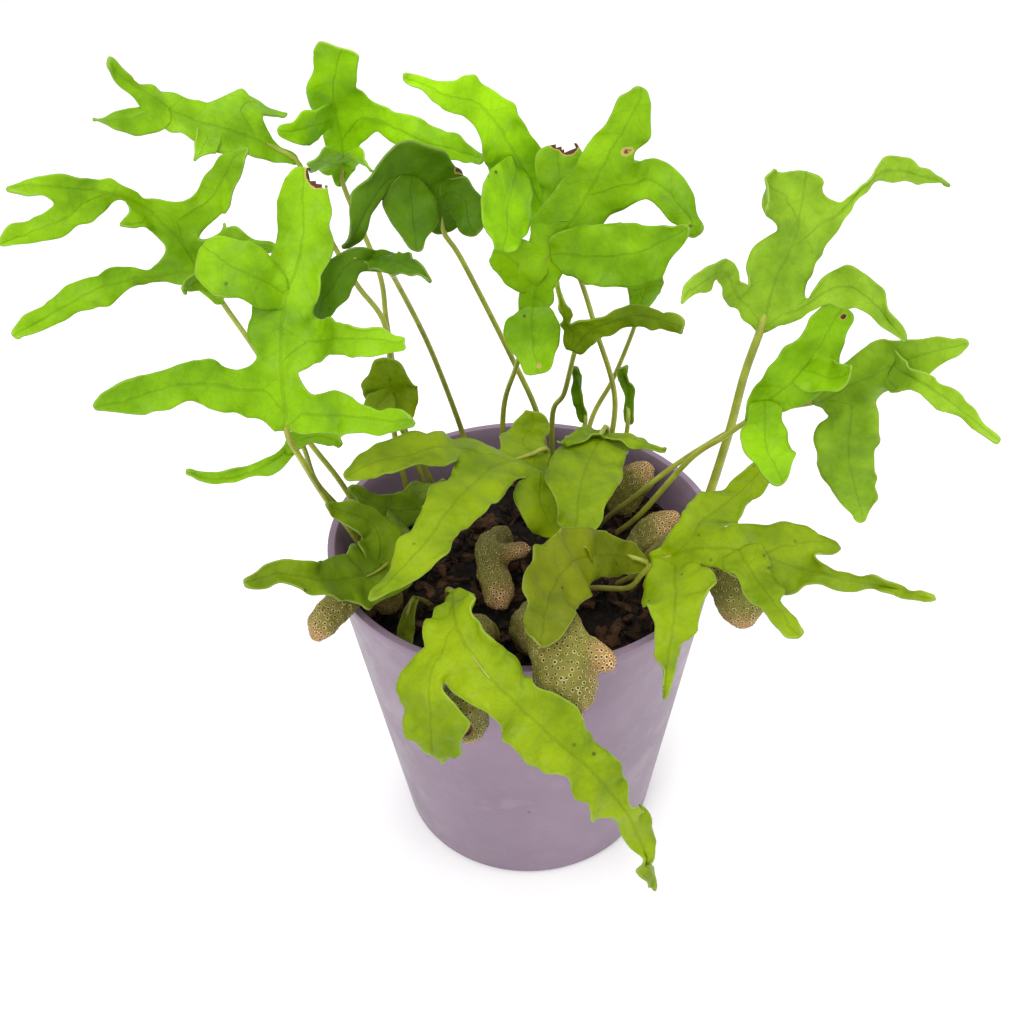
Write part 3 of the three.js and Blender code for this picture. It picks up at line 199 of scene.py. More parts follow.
FRONDS = {
    "frond_01": {
        "foot": [-53, -24, 148], "face": [0, -0.8, 0.6], "opens": 4, "point": -1, "stalk": 0.95,
        "wide": [5, 8.5, 8, 14, 15.5, 12.5, 13, 14, 14.5],
        "stipe": [[-43, 3, 88], [-46, -3, 104], [-50, -8, 118], [-52, -19, 138]],
        "rib": [[0, 4, 13], [1, 12, 26], [5, 20, 36], [7, 28, 52]],
        "tears": [[10, 28, 50, 2.6]],
        "browns": [[9, 28, 48, 2.2]],
        "lobes": [
            lobe(0.17, [-19, -6, 18], [-35, -16, 18], [12.5, 11.5, 8.5, 10.5, 8, 10.5, 6.5]),
            lobe(0.5, [-7, 10, 36], [-15, 16, 39], [10.5, 12.5, 14.5, 13.5], point=-0.5),
            lobe(0.12, [15, -6, 9], [30, -14, 12], [10, 7.5, 10.5, 7, 9, 6.5]),
            lobe(0.35, [16, -2, 26], [30, -6, 27], [10.5, 9, 10, 8, 6.5]),
        ],
    },
    "frond_02": {
        "foot": [-72, 12, 163], "face": [-0.1, -0.75, 0.65], "opens": 4, "point": 0.5,
        "wide": [2.5, 6, 7, 6.5, 3.5, 5, 6, 8.5, 5.5, 3],
        "stipe": [[-42, 12, 88], [-49, 9.5, 110], [-57, 8, 128], [-65, 12, 147]],
        "rib": [[-5, 2, 9], [-7, 2, 15], [-11, 1, 21], [-13, 0, 25], [-16, -3, 29], [-19, -7, 32],
            [-27, -12, 35], [-37, -16, 38]],
        "lobes": [
            lobe(0.09, [-6, -4, 9], [-6, -10, 8], [7.5, 7.5, 7.5]),
            lobe(0.22, [-27, -6, 8], [-45, -18, 2], [4, 5, 6, 7.5, 10, 8, 5.5]),
            lobe(0.42, [-14, -3, 22], [-17, -8, 23], [4, 5, 4]),
            lobe(0.75, [-31, -16, 28], [-38, -22, 27], [6.5, 7.5, 7.5, 5.5]),
            lobe(0.14, [7, -6, 20], [18, -12, 19], [5, 5.5, 5, 6.5]),
            lobe(0.28, [0, 4, 24], [9, 6, 36], [5, 6.5, 12, 9.5, 3]),
        ],
    },
    "frond_03": {
        "foot": [-53, 34, 189], "face": [-0.2, -0.5, 0.85], "opens": 4, "point": 0.4,
        "wide": [2.5, 4.5, 9.5, 13.5, 13.5, 12.5, 8, 7, 4],
        "stipe": [[-33, 27, 88], [-36, 29, 116], [-35, 28, 146], [-42, 30, 159], [-50, 32, 177]],
        "rib": [[-8, 0, 6], [-18, -2, 10], [-28, -6, 17], [-38, -12, 28]],
        "lobes": [
            lobe(0.68, [-34, -14, 17], [-40, -20, 19], [7.5, 6.5, 6.5, 4.5]),
            lobe(0.33, [-10, 10, 11], [-4, 14, 8], [7.5, 7, 5.5]),
            lobe(0.42, [-20, -8, 8], [-22, -14, 7], [8.5, 7.5, 5]),
        ],
    },
    "frond_04": {
        "foot": [-44, 42, 180], "face": [0, -1, 0.35], "opens": 4, "point": -0.5,
        "wide": [3.5, 7, 10.5, 13, 12.5, 13, 14.5],
        "stipe": [[-28, 32, 88], [-34, 36, 112], [-36, 38, 142], [-37, 40, 157]],
        "rib": [[1, 0, 9], [0, 0, 18], [1, -4, 27], [5, -10, 37]],
        "lobes": [
            lobe(0.4, [-6, -8, 18], [-11, -16, 20], [9.5, 9.5, 7.5, 5]),
            lobe(0.39, [20, -6, 14], [37, -16, 12], [8.5, 5, 7.5, 10, 8.5, 5, 3]),
            lobe(0.17, [-3, -8, 10], [-6, -16, 14], [8]),
            lobe(0.26, [5, -6, 10], [10, -12, 9], [6]),
        ],
    },
    "frond_05": {
        "foot": [-18, 27, 173], "face": [0, -1, 0.3], "opens": 5, "stalk": 0.9,
        "wide": [7, 14.5, 17.5, 17, 13.5, 10.5, 7],
        "stipe": [[8, 40, 88], [5, 43, 108], [-2, 42, 128], [-14, 30, 164]],
        "rib": [[-1, -3, 11], [-6, -9, 19], [-12, -17, 21], [-16, -23, 16], [-21, -25, 8]],
        "tears": [[6, -3, 20, 2.8], [9, -3, 19, 2.6], [10, -3, 17, 2.2], [11, -3, 15, 1.6]],
        "lobes": [
            lobe(0.22, [5, -2, 12], [7, -7, 1], [12, 12, 10, 8.5]),
            lobe(0.41, [-6, -14, 12], [-6, -18, 4], [12.5, 15.5, 14.5, 12.5], face=[0, -1, 0.5]),
        ],
    },
    "frond_06": {
        "foot": [9, 34, 172], "face": [0.1, -1, 0.35], "opens": 5, "point": 0.6,
        "wide": [3.5, 8, 12, 13, 12, 10, 12.5, 8, 4],
        "stipe": [[23, 35, 88], [27, 38, 115], [21, 38, 139], [16, 37, 156]],
        "rib": [[-6, -4, 13], [-11, -9, 25], [-17, -12, 35], [-24, -14, 37], [-29, -15, 40],
            [-33, -16, 43]],
        "lobes": [
            lobe(0.38, [-11, -17, 12], [-12, -25, 4], [13, 15, 16, 16, 15], point=0),
        ],
    },
    "frond_07": {
        "foot": [3, 20, 152], "face": [0, -1, 0.5], "opens": 4,
        "wide": [7.5, 8, 11, 13.5, 15, 13.5, 14, 16.5, 7.5],
        "stipe": [[-6, 39, 88], [-5, 40, 113], [-1, 30, 133]],
        "rib": [[3, -4, 17], [10, -6, 29], [17, -6, 43], [21, -7, 51], [26, -8, 60]],
        "tears": [[9, -1, 46, 1.9], [7, 0, 47, 1.9]],
        "browns": [[22, -6, 46, 2.4], [2, -10, -7, 2], [4, -9, -5, 1.2], [8, -8, -2, 1],
            [9, -8, -3, 1]],
        "lobes": [
            lobe(0.08, [0, -4, -2], [2, -10, -10], [10.5, 17, 17.5, 15], face=[0.1, -0.9, 0.4]),
            lobe(0.2, [-3, -3, 17], [-8, -7, 24], [15, 13.5, 11.5]),
            lobe(0.49, [7, -2, 38], [7, 0, 46], [13.5, 13, 12.5, 13.5], point=-0.7),
            lobe(0.33, [22, -14, 24], [36, -17, 32], [12, 13.5, 16.5, 17, 14.5, 10.5], folded=True),
            lobe(0.69, [29, -2, 38], [40, -12, 28], [11.5, 11.5, 10.5, 9.5, 8, 7.5], point=0),
        ],
    },
    "frond_08": {
        "foot": [14, 16, 145], "face": [0, -0.8, 0.6], "opens": 3, "point": 0,
        "wide": [2.5, 7, 3.5, 5.5, 6.5, 7.5],
        "stipe": [[9, 34, 88], [9, 36, 113], [12, 30, 124]],
        "rib": [[3, -4, 8], [9, -8, 13], [16, -14, 18], [24, -22, 18]],
        "lobes": [
            lobe(0.2, [-3, -7, 15], [-5, -9, 23], [4.5, 3.5, 2.5]),
        ],
    },
    "frond_09": {
        "foot": [32, 44, 136], "face": [0, -1, 0.3], "opens": 8,
        "wide": [5, 8, 9],
        "stipe": [[16, 36, 88], [21, 47, 104], [27, 48, 117]],
        "rib": [[1, -2, 9], [3, -4, 16], [5, -8, 25]],
        "lobes": [
            lobe(0.53, [-2, -4, 18], [-5, -8, 24], [6]),
        ],
    },
    "frond_10": {
        "foot": [56, -4, 161], "face": [0, -1, 0.45], "opens": 4, "point": -0.8, "stalk": 1.3,
        "wide": [5, 9, 15, 14, 10.5, 10, 15],
        "stipe": [[42, -2, 88], [47, 0, 101], [52, 0, 128], [54, -2, 148]],
        "rib": [[1, 0, 7], [3, 2, 14], [7, 6, 20], [9, 12, 33]],
        "lobes": [
            lobe(0.2, [-12, -10, 21], [-23, -24, 21], [8, 5.5, 5, 5.5, 5.5]),
            lobe(0.9, [-1, 6, 34], [-2, -2, 31], [7.5, 7, 6, 4.5]),
            lobe(0.2, [18, -2, 13], [29, -14, 5], [8, 4, 7, 11.5, 7, 4.5, 3]),
            lobe(0.66, [27, 16, 32], [44, 20, 26], [7, 4, 2, 3.5, 5, 5, 3, 2.5]),
        ],
    },
    "frond_11": {
        "foot": [55, -10, 141], "face": [0.1, -0.9, 0.5], "opens": 4, "point": -0.3,
        "wide": [4, 6.5, 13, 16.5, 14.5, 14, 14.5],
        "stipe": [[26, 12, 88], [32, 8, 98], [43, 0, 122], [50, -6, 133]],
        "rib": [[6, -2, 9], [13, 2, 15], [20, 8, 26]],
        "browns": [[20, 7, 23, 1.2]],
        "lobes": [
            lobe(0.16, [1, -12, 1], [4, -20, -4], [7.5, 13, 14.5, 9], face=[0.1, -0.5, 0.87]),
            lobe(0.5, [15, -6, 14], [18, -10, 18], [10, 9.5, 8.5]),
        ],
    },
    "frond_12": {
        "foot": [74, 4, 136], "face": [0.1, -0.8, 0.6], "opens": 4,
        "wide": [5.5, 8.5, 11, 13, 12, 10, 7.5],
        "stipe": [[23, 18, 88], [31, 16, 98], [45, 13, 114], [62, 8, 130]],
        "rib": [[5, -10, 11], [14, -17, 22], [25, -22, 29]],
        "browns": [[23, -44, 24, 1.8]],
        "lobes": [
            lobe(0.24, [6, -11, -5], [13, -14, -28], [14, 17.5, 15.5, 13, 12, 12, 11],
                 folded=False),
            lobe(0.57, [18, -34, 22], [26, -46, 19], [12, 6, 3.5, 5.5, 6.5, 5, 3]),
        ],
    },
    "frond_13": {
        "foot": [7, 14, 115], "face": [-0.1, -0.4, 0.9], "opens": 4,
        "wide": [7.5, 12, 15, 15.5, 12.5, 15, 7],
        "stipe": [[9, 27, 88]],
        "rib": [[-13, -16, 8], [-23, -36, 12], [-31, -52, 10], [-41, -64, 7]],
        "lobes": [
            lobe(0.04, [-4, 12, 0], [-4, 14, 5], [10.5, 12.5, 13.5]),
            lobe(0.32, [-30, -18, 15], [-49, -32, 18], [11.5, 12, 11.5, 15, 14.5, 11]),
            lobe(0.15, [-3, -20, 1], [1, -24, -9], [11.5, 13, 14, 12.5], point=0),
        ],
    },
    "frond_14": {
        "foot": [24, 26, 114], "face": [0, -0.5, 0.87], "opens": 3, "point": -1,
        "wide": [10.5, 17, 18.5, 18, 17.5, 16.5],
        "stipe": [[24, 25, 88]],
        "rib": [[-3, -8, 2], [-8, -26, 5], [-10, -36, 3], [-11, -42, -2]],
        "lobes": [
            lobe(0.15, [5, -8, 3], [14, -16, 3], [10, 6.5, 4, 3]),
            lobe(0.16, [-10, -10, 5], [-14, -18, 8], [8, 8.5, 7.5], folded=True),
        ],
    },
    "frond_15": {
        "foot": [32, -28, 112], "face": [0.1, -0.5, 0.87], "opens": 4, "point": 0.5, "crisp": 1.2,
        "wide": [3.5, 4, 7.5, 11.5, 13.5, 14.5, 8, 5.5, 4.5, 2.5, 3],
        "stipe": [[17, -13, 90], [26, -22, 98], [29, -26, 106]],
        "rib": [[9, -4, 7], [19, -8, 9], [30, -14, 9], [40, -22, 12], [57, -28, 12]],
        "lobes": [
            lobe(0.19, [16, 10, 7], [29, 22, 11], [10, 13.5, 12.5, 10.5, 9], point=0),
            lobe(0.49, [32, -8, 12], [40, -8, 11], [12.5, 11.5, 10.5], point=0),
            lobe(0.08, [1, -26, 5], [-2, -34, -11], [7, 14, 17, 15.5, 11, 6.5, 4.5, 4], point=0.1),
            lobe(0.35, [21, -24, 11], [27, -34, 8], [14.5, 10.5, 8, 7.5, 6]),
        ],
    },
    "frond_16": {
        "foot": [31, -22, 105], "face": [-0.1, -0.6, 0.8], "opens": 4, "point": 0.1,
        "wide": [7, 9.5, 13.5, 18, 18.5, 15.5, 10],
        "stipe": [[24, -10, 88]],
        "rib": [[-9, -2, 6], [-20, -14, 14], [-26, -30, 16], [-28, -42, 14]],
        "lobes": [
            lobe(0.39, [-21, 0, 7], [-28, 2, 6], [9.5, 9.5, 9.5]),
        ],
    },
    "frond_17": {
        "foot": [-17, -38, 112], "face": [-0.3, -0.4, 0.87], "opens": 3, "point": 0.4,
        "crisp": 1.7,
        "wide": [4, 9, 13, 13, 14, 14, 12.5, 12, 10.5, 6, 4.5],
        "stipe": [[-20, -16, 89], [-19, -28, 104]],
        "rib": [[2, -18, 5], [9, -30, 2], [20, -36, -7], [32, -39, -20], [40, -40, -34],
            [47, -40, -61]],
        "lobes": [
            lobe(0.22, [-4, -32, -2], [-4, -36, -20], [8, 14, 16.5, 15, 14, 10],
                 face=[-0.3, -0.8, 0.5]),
        ],
    },
    "frond_18": {
        "foot": [-33, -16, 105], "face": [-0.1, -0.8, 0.6], "opens": 4, "point": 0.2,
        "wide": [10.5, 16.5, 14, 10.5, 7.5, 7.5],
        "stipe": [[-33, 9, 88]],
        "rib": [[-5, -15, 7], [-13, -26, 15], [-21, -30, 21], [-30, -34, 22]],
        "lobes": [
            lobe(0.19, [-4, 2, 9], [-15, -2, 18], [12.5, 13, 10.5, 8, 6]),
        ],
    },
    "frond_19": {
        "foot": [-25, 14, 98], "face": [0, -0.6, 0.8], "opens": 9,
        "wide": [9],
        "stipe": [[-22, 20, 86]],
        "rib": [[-7, -6, 3], [-14, -10, 8], [-20, -12, 16]],
        "lobes": [
            lobe(0.36, [-8, -16, 6], [-8, -22, 6], [8]),
            lobe(0.28, [-2, 4, 2], [3, 8, 2], [8]),
        ],
    },
    "frond_20": {
        "foot": [-54, -8, 135], "face": [0, -0.8, 0.6], "opens": 4, "point": 0.6,
        "wide": [2.5, 4.5, 4.5, 3.5],
        "stipe": [[-42, 7.5, 88], [-49, 3, 106], [-53, -3, 120]],
        "rib": [[-4, -4, 0], [-10, -6, -3], [-18, -8, -5], [-26, -10, -1]],
        "lobes": [
            lobe(0.06, [4, 2, 2], [10, 4, -4], [5]),
        ],
    },
    "frond_21": {
        "foot": [-33, 18, 123], "face": [0, -0.9, 0.5], "opens": 4, "point": 0,
        "wide": [8.5, 15, 15.5, 11.5],
        "stipe": [[-24, 28, 88], [-28, 25, 104]],
        "rib": [[-1, 0, 8], [-1, -2, 16], [-1, -2, 22]],
        "browns": [[-3, 0, 15, 1.4], [-1, 0, 14, 1.2]],
        "lobes": [
            lobe(0.38, [-5, -4, 8], [-8, -8, 7], [9]),
        ],
    },
    "frond_22": {
        "foot": [-30, 2, 176], "face": [0, -0.8, 0.6], "opens": 6,
        "wide": [4, 8, 10.5, 10],
        "stipe": [[-14, 40, 88], [-18, 42, 106], [-24, 30, 139], [-29, 12, 167]],
        "rib": [[-3, -1, 4], [-9, -4, 3], [-18, -4, -10]],
        "lobes": [
            lobe(0.18, [6, -18, 10], [12, -26, 10], [7, 6.5, 5]),
        ],
    },
    "frond_23": {
        "foot": [18, 32, 112], "face": [0, -1, 0.3], "opens": 6, "point": 0.9,
        "wide": [3, 3.5],
        "stipe": [[12, 30, 88]],
        "rib": [[-1, 1, 8], [-2, 0, 14], [-4, -2, 20]],
        "lobes": [],
    },
    "frond_24": {
        "foot": [30, 30, 113], "face": [-0.2, -1, 0.3], "opens": 6, "point": 0.9,
        "wide": [3, 3.5],
        "stipe": [[28, 31, 88]],
        "rib": [[0, 2, 7], [-1, 2, 14], [-3, -2, 20]],
        "lobes": [],
    },
    "frond_25": {
        "foot": [-29, -20, 94], "face": [0, -0.8, 0.6], "opens": 6, "point": 0.9,
        "wide": [5, 6],
        "stipe": [[-25, -16, 88]],
        "rib": [[-1, -4, -2], [-1, -8, -3], [0, -12, -4]],
        "lobes": [],
    },
}


def wobble(seed, step):
    """A repeatable number from -1 to 1."""
    s = math.sin(seed * 12.9898 + step * 78.233) * 43758.5453
    return (s - math.floor(s)) * 2 - 1


def spread(values, t):
    """A value from a short list, spread evenly over 0 to 1."""
    if len(values) == 1:
        return values[0]
    place = t * (len(values) - 1)
    k = min(int(place), len(values) - 2)
    return values[k] + (values[k + 1] - values[k]) * (place - k)


class Run:
    """A smooth run through places, walked by its length."""

    DIVISIONS = 200

    def __init__(self, places):
        self.places = [Vector(p) for p in places]
        marks = [self.point(i / self.DIVISIONS) for i in range(self.DIVISIONS + 1)]
        self.lengths = [0.0]
        for a, b in zip(marks, marks[1:]):
            self.lengths.append(self.lengths[-1] + (b - a).length)
        self.length = self.lengths[-1]

    def point(self, t):
        p = self.places
        whole = t * (len(p) - 1)
        i = min(int(whole), len(p) - 2)
        w = whole - i
        a, b = p[i], p[i + 1]
        before = p[i - 1] if i > 0 else 2 * a - b
        after = p[i + 2] if i + 2 < len(p) else 2 * b - a
        leave, arrive = (b - before) * 0.5, (after - a) * 0.5
        return (
            a
            + leave * w
            + (3 * (b - a) - 2 * leave - arrive) * w**2
            + (2 * (a - b) + leave + arrive) * w**3
        )

    def at(self, share):
        target = share * self.length
        low, high = 0, self.DIVISIONS
        while high - low > 1:
            mid = (low + high) // 2
            if self.lengths[mid] <= target:
                low = mid
            else:
                high = mid
        step = self.lengths[high] - self.lengths[low]
        part = (target - self.lengths[low]) / step if step else 0
        return self.point((low + min(part, 1.0)) / self.DIVISIONS)


class Way:
    """A place on a run, with its directions forward, up and to the right."""

    def __init__(self, centre, along, up):
        self.centre, self.along, self.up = centre, along, up
        self.right = along.cross(up)


def ways_along(centres, first_up, face=None):
    """A way at each centre: its up side starts as given and is drawn towards the face."""
    face = first_up if face is None else face
    ways = []
    up = first_up.copy()
    for i, centre in enumerate(centres):
        before = centres[max(i - 1, 0)]
        after = centres[min(i + 1, len(centres) - 1)]
        along = (after - before).normalized()
        pull = face - along * along.dot(face)
        up = (up - along * along.dot(up)).normalized()
        if i > 0:
            up = (up + pull * FACE_PULL).normalized()
        ways.append(Way(centre, along, up))
    return ways


def reach_limit(ways, i, side):
    """How far a row's edge may reach before it crosses the next row's, inside a bend."""
    limit = math.inf
    for j in (i - 1, i + 1):
        if 0 <= j < len(ways):
            step = ways[j].centre - ways[i].centre
            closing = -side * (ways[j].right - ways[i].right).dot(step) / step.length
            if closing > 0:
                limit = min(limit, BEND_ROOM * step.length / closing)
    return limit


def tip_shape(t, point):
    """The share of a blade's width that is left at a share of its length."""
    drop = TIP_DROP + TIP_DROP_POINTED * point
    return 1 - drop * t ** (TIP_POWER - TIP_POWER_POINTED * point)


def deselect_all():
    if bpy.context.mode != "OBJECT":
        bpy.ops.object.mode_set(mode="OBJECT")
    bpy.ops.object.select_all(action="DESELECT")


def pick(*objects):
    """Only these objects are selected, and the first is active."""
    deselect_all()
    for obj in objects:
        obj.select_set(True)
    bpy.context.view_layer.objects.active = objects[0]


def apply_modifier(obj, kind, **values):
    pick(obj)
    modifier = obj.modifiers.new(kind.title(), kind)
    for name, value in values.items():
        setattr(modifier, name, value)
    bpy.ops.object.modifier_apply(modifier=modifier.name)


def join(objects):
    pick(*objects)
    bpy.ops.object.join()
    return objects[0]


def shade_smooth(obj, degrees=None):
    pick(obj)
    if degrees is None:
        bpy.ops.object.shade_smooth()
    else:
        bpy.ops.object.shade_smooth_by_angle(angle=math.radians(degrees))


def cloud(name, size, depth=2):
    """A soft noise texture for a Displace modifier."""
    texture = bpy.data.textures.new(name, "CLOUDS")
    texture.noise_scale = size
    texture.noise_depth = depth
    return texture


def displace(obj, texture, strength, **more):
    apply_modifier(obj, "DISPLACE", texture=texture, strength=strength, mid_level=0.5,
                   texture_coords="LOCAL", **more)


def clear_edit(obj):
    """Edit mode with nothing selected."""
    pick(obj)
    bpy.ops.object.mode_set(mode="EDIT")
    bpy.ops.mesh.select_mode(type="VERT")
    bpy.ops.mesh.select_all(action="DESELECT")
    return bmesh.from_edit_mesh(obj.data)


class Nodes:
    """A material's node tree, built a node at a time."""

    def __init__(self, name):
        self.material = bpy.data.materials.new(name)
        self.material.use_nodes = True
        self.tree = self.material.node_tree
        self.tree.nodes.clear()
        self.surface = self.add("ShaderNodeOutputMaterial")

    def add(self, kind, inputs=None, **settings):
        node = self.tree.nodes.new(kind)
        for name, value in settings.items():
            setattr(node, name, value)
        for name, value in (inputs or {}).items():
            self.put(node.inputs[name], value)
        return node

    def put(self, socket, value):
        if isinstance(value, bpy.types.NodeSocket):
            self.tree.links.new(value, socket)
        elif isinstance(value, bpy.types.Node):
            self.tree.links.new(value.outputs[0], socket)
        else:
            socket.default_value = value

    def maths(self, operation, *values, clamp=False):
        inputs = dict(enumerate(values))
        return self.add("ShaderNodeMath", inputs, operation=operation, use_clamp=clamp)

    def noise(self, place, scale, detail=3.0, roughness=0.55, distortion=0.0):
        inputs = {
            "Vector": place,
            "Scale": scale,
            "Detail": detail,
            "Roughness": roughness,
            "Distortion": distortion,
        }
        return self.add("ShaderNodeTexNoise", inputs)

    def ramp(self, value, low, high, start=0.0, end=1.0):
        inputs = {0: value, 1: low, 2: high, 3: start, 4: end}
        return self.add("ShaderNodeMapRange", inputs, interpolation_type="SMOOTHSTEP")

    def mix(self, share, a, b, blend="MIX"):
        node = self.add("ShaderNodeMix", data_type="RGBA", blend_type=blend)
        self.put(node.inputs[0], share)
        self.put(node.inputs[6], a)
        self.put(node.inputs[7], b)
        return node.outputs[2]

    def bump(self, height, strength, distance, normal=None):
        inputs = {"Height": height, "Strength": strength, "Distance": distance}
        if normal is not None:
            inputs["Normal"] = normal
        return self.add("ShaderNodeBump", inputs)

    def coordinates(self):
        return self.add("ShaderNodeTexCoord").outputs["Object"]

    def principled(self, colour, roughness, **more):
        inputs = {"Base Color": colour, "Roughness": roughness}
        inputs.update((key.replace("_", " "), value) for key, value in more.items())
        return self.add("ShaderNodeBsdfPrincipled", inputs)

    def shown(self, shader):
        """The finished material, with this shader as its surface."""
        self.put(self.surface.inputs["Surface"], shader)
        return self.material


def rgba(colour, gain=1.0):
    return (colour[0] * gain, colour[1] * gain, colour[2] * gain, 1.0)


def pot_material(colour):
    n = Nodes("mauve plastic")
    place = n.coordinates()
    cloudy = n.noise(place, 28.0, detail=4.0)
    smudge = n.noise(place, 95.0, detail=5.0, roughness=0.65)
    specks = n.add("ShaderNodeTexVoronoi", {"Vector": place, "Scale": 130.0})
    speck = n.ramp(specks.outputs["Distance"], 0.035, 0.07, 1.0, 0.0)
    chosen = n.ramp(n.noise(place, 47.0).outputs[0], 0.6, 0.64)
    speck = n.maths("MULTIPLY", speck, chosen)
    tint = n.mix(n.ramp(cloudy.outputs[0], 0.35, 0.7), rgba(colour, 0.9), rgba(colour, 1.08))
    dust = n.ramp(smudge.outputs[0], 0.52, 0.72, 0.0, 0.3)
    dusty = n.mix(dust, tint, rgba((0.33, 0.26, 0.31)))
    colour_out = n.mix(speck, dusty, rgba((0.06, 0.045, 0.05)))
    fine = n.noise(place, 900.0, detail=2.0)
    roughness = n.ramp(smudge.outputs[0], 0.3, 0.75, 0.32, 0.5)
    bump = n.bump(fine, 0.12, 0.0003)
    return n.shown(n.principled(colour_out, roughness, Specular_IOR_Level=0.35, Normal=bump))


def mix_material(name, dark, light):
    n = Nodes(name)
    place = n.coordinates()
    coarse = n.noise(place, 160.0, detail=6.0, roughness=0.7)
    fine = n.noise(place, 900.0, detail=4.0)
    colour = n.mix(n.ramp(coarse.outputs[0], 0.38, 0.7), rgba(dark), rgba(light))
    roughness = n.ramp(fine.outputs[0], 0.3, 0.7, 0.75, 0.98)
    bump = n.bump(fine, 0.7, 0.0006)
    return n.shown(n.principled(colour, roughness, Specular_IOR_Level=0.15, Normal=bump))


def skin_material(colour, tip_colour):
    n = Nodes("rhizome skin")
    place = n.coordinates()
    tan = n.add("ShaderNodeAttribute", attribute_name="tan").outputs["Fac"]
    patches = n.noise(place, 110.0, detail=4.0)
    fine = n.noise(place, 520.0, detail=5.0, roughness=0.65)
    green = n.mix(n.ramp(patches.outputs[0], 0.35, 0.7), rgba(colour, 0.75), rgba(colour, 1.2))
    tan = n.maths("ADD", tan, n.ramp(fine.outputs[0], 0.3, 0.7, -0.2, 0.2), clamp=True)
    base = n.mix(tan, green, rgba(tip_colour))
    pits = n.add("ShaderNodeTexVoronoi", {"Vector": place, "Scale": 640.0})
    pit = n.ramp(pits.outputs["Distance"], 0.1, 0.32, 0.55, 0.0)
    base = n.mix(pit, base, rgba((0.05, 0.03, 0.012)))
    roughness = n.ramp(fine.outputs[0], 0.3, 0.7, 0.5, 0.75)
    bump = n.bump(fine, 0.5, 0.0004, n.bump(pits.outputs["Distance"], 0.4, 0.0003))
    return n.shown(n.principled(base, roughness, Specular_IOR_Level=0.25, Normal=bump))


def scale_material(colour):
    n = Nodes("rhizome scales")
    place = n.coordinates()
    centre = n.add("ShaderNodeAttribute", attribute_name="centre").outputs["Fac"]
    tan = n.add("ShaderNodeAttribute", attribute_name="tan").outputs["Fac"]
    fine = n.noise(place, 700.0, detail=3.0)
    pale = n.mix(n.ramp(fine.outputs[0], 0.3, 0.7), rgba(colour, 0.7), rgba(colour, 1.15))
    pale = n.mix(tan, pale, rgba((0.62, 0.42, 0.2)))
    base = n.mix(n.ramp(centre, 0.36, 0.56), pale, rgba((0.02, 0.012, 0.005)))
    return n.shown(n.principled(base, 0.6, Specular_IOR_Level=0.2))


def scar_material():
    n = Nodes("frond scar")
    place = n.coordinates()
    fine = n.noise(place, 900.0, detail=5.0, roughness=0.7)
    base = n.mix(fine.outputs[0], rgba((0.045, 0.014, 0.006)), rgba((0.24, 0.085, 0.03)))
    return n.shown(n.principled(base, 0.8, Normal=n.bump(fine, 0.8, 0.0005)))


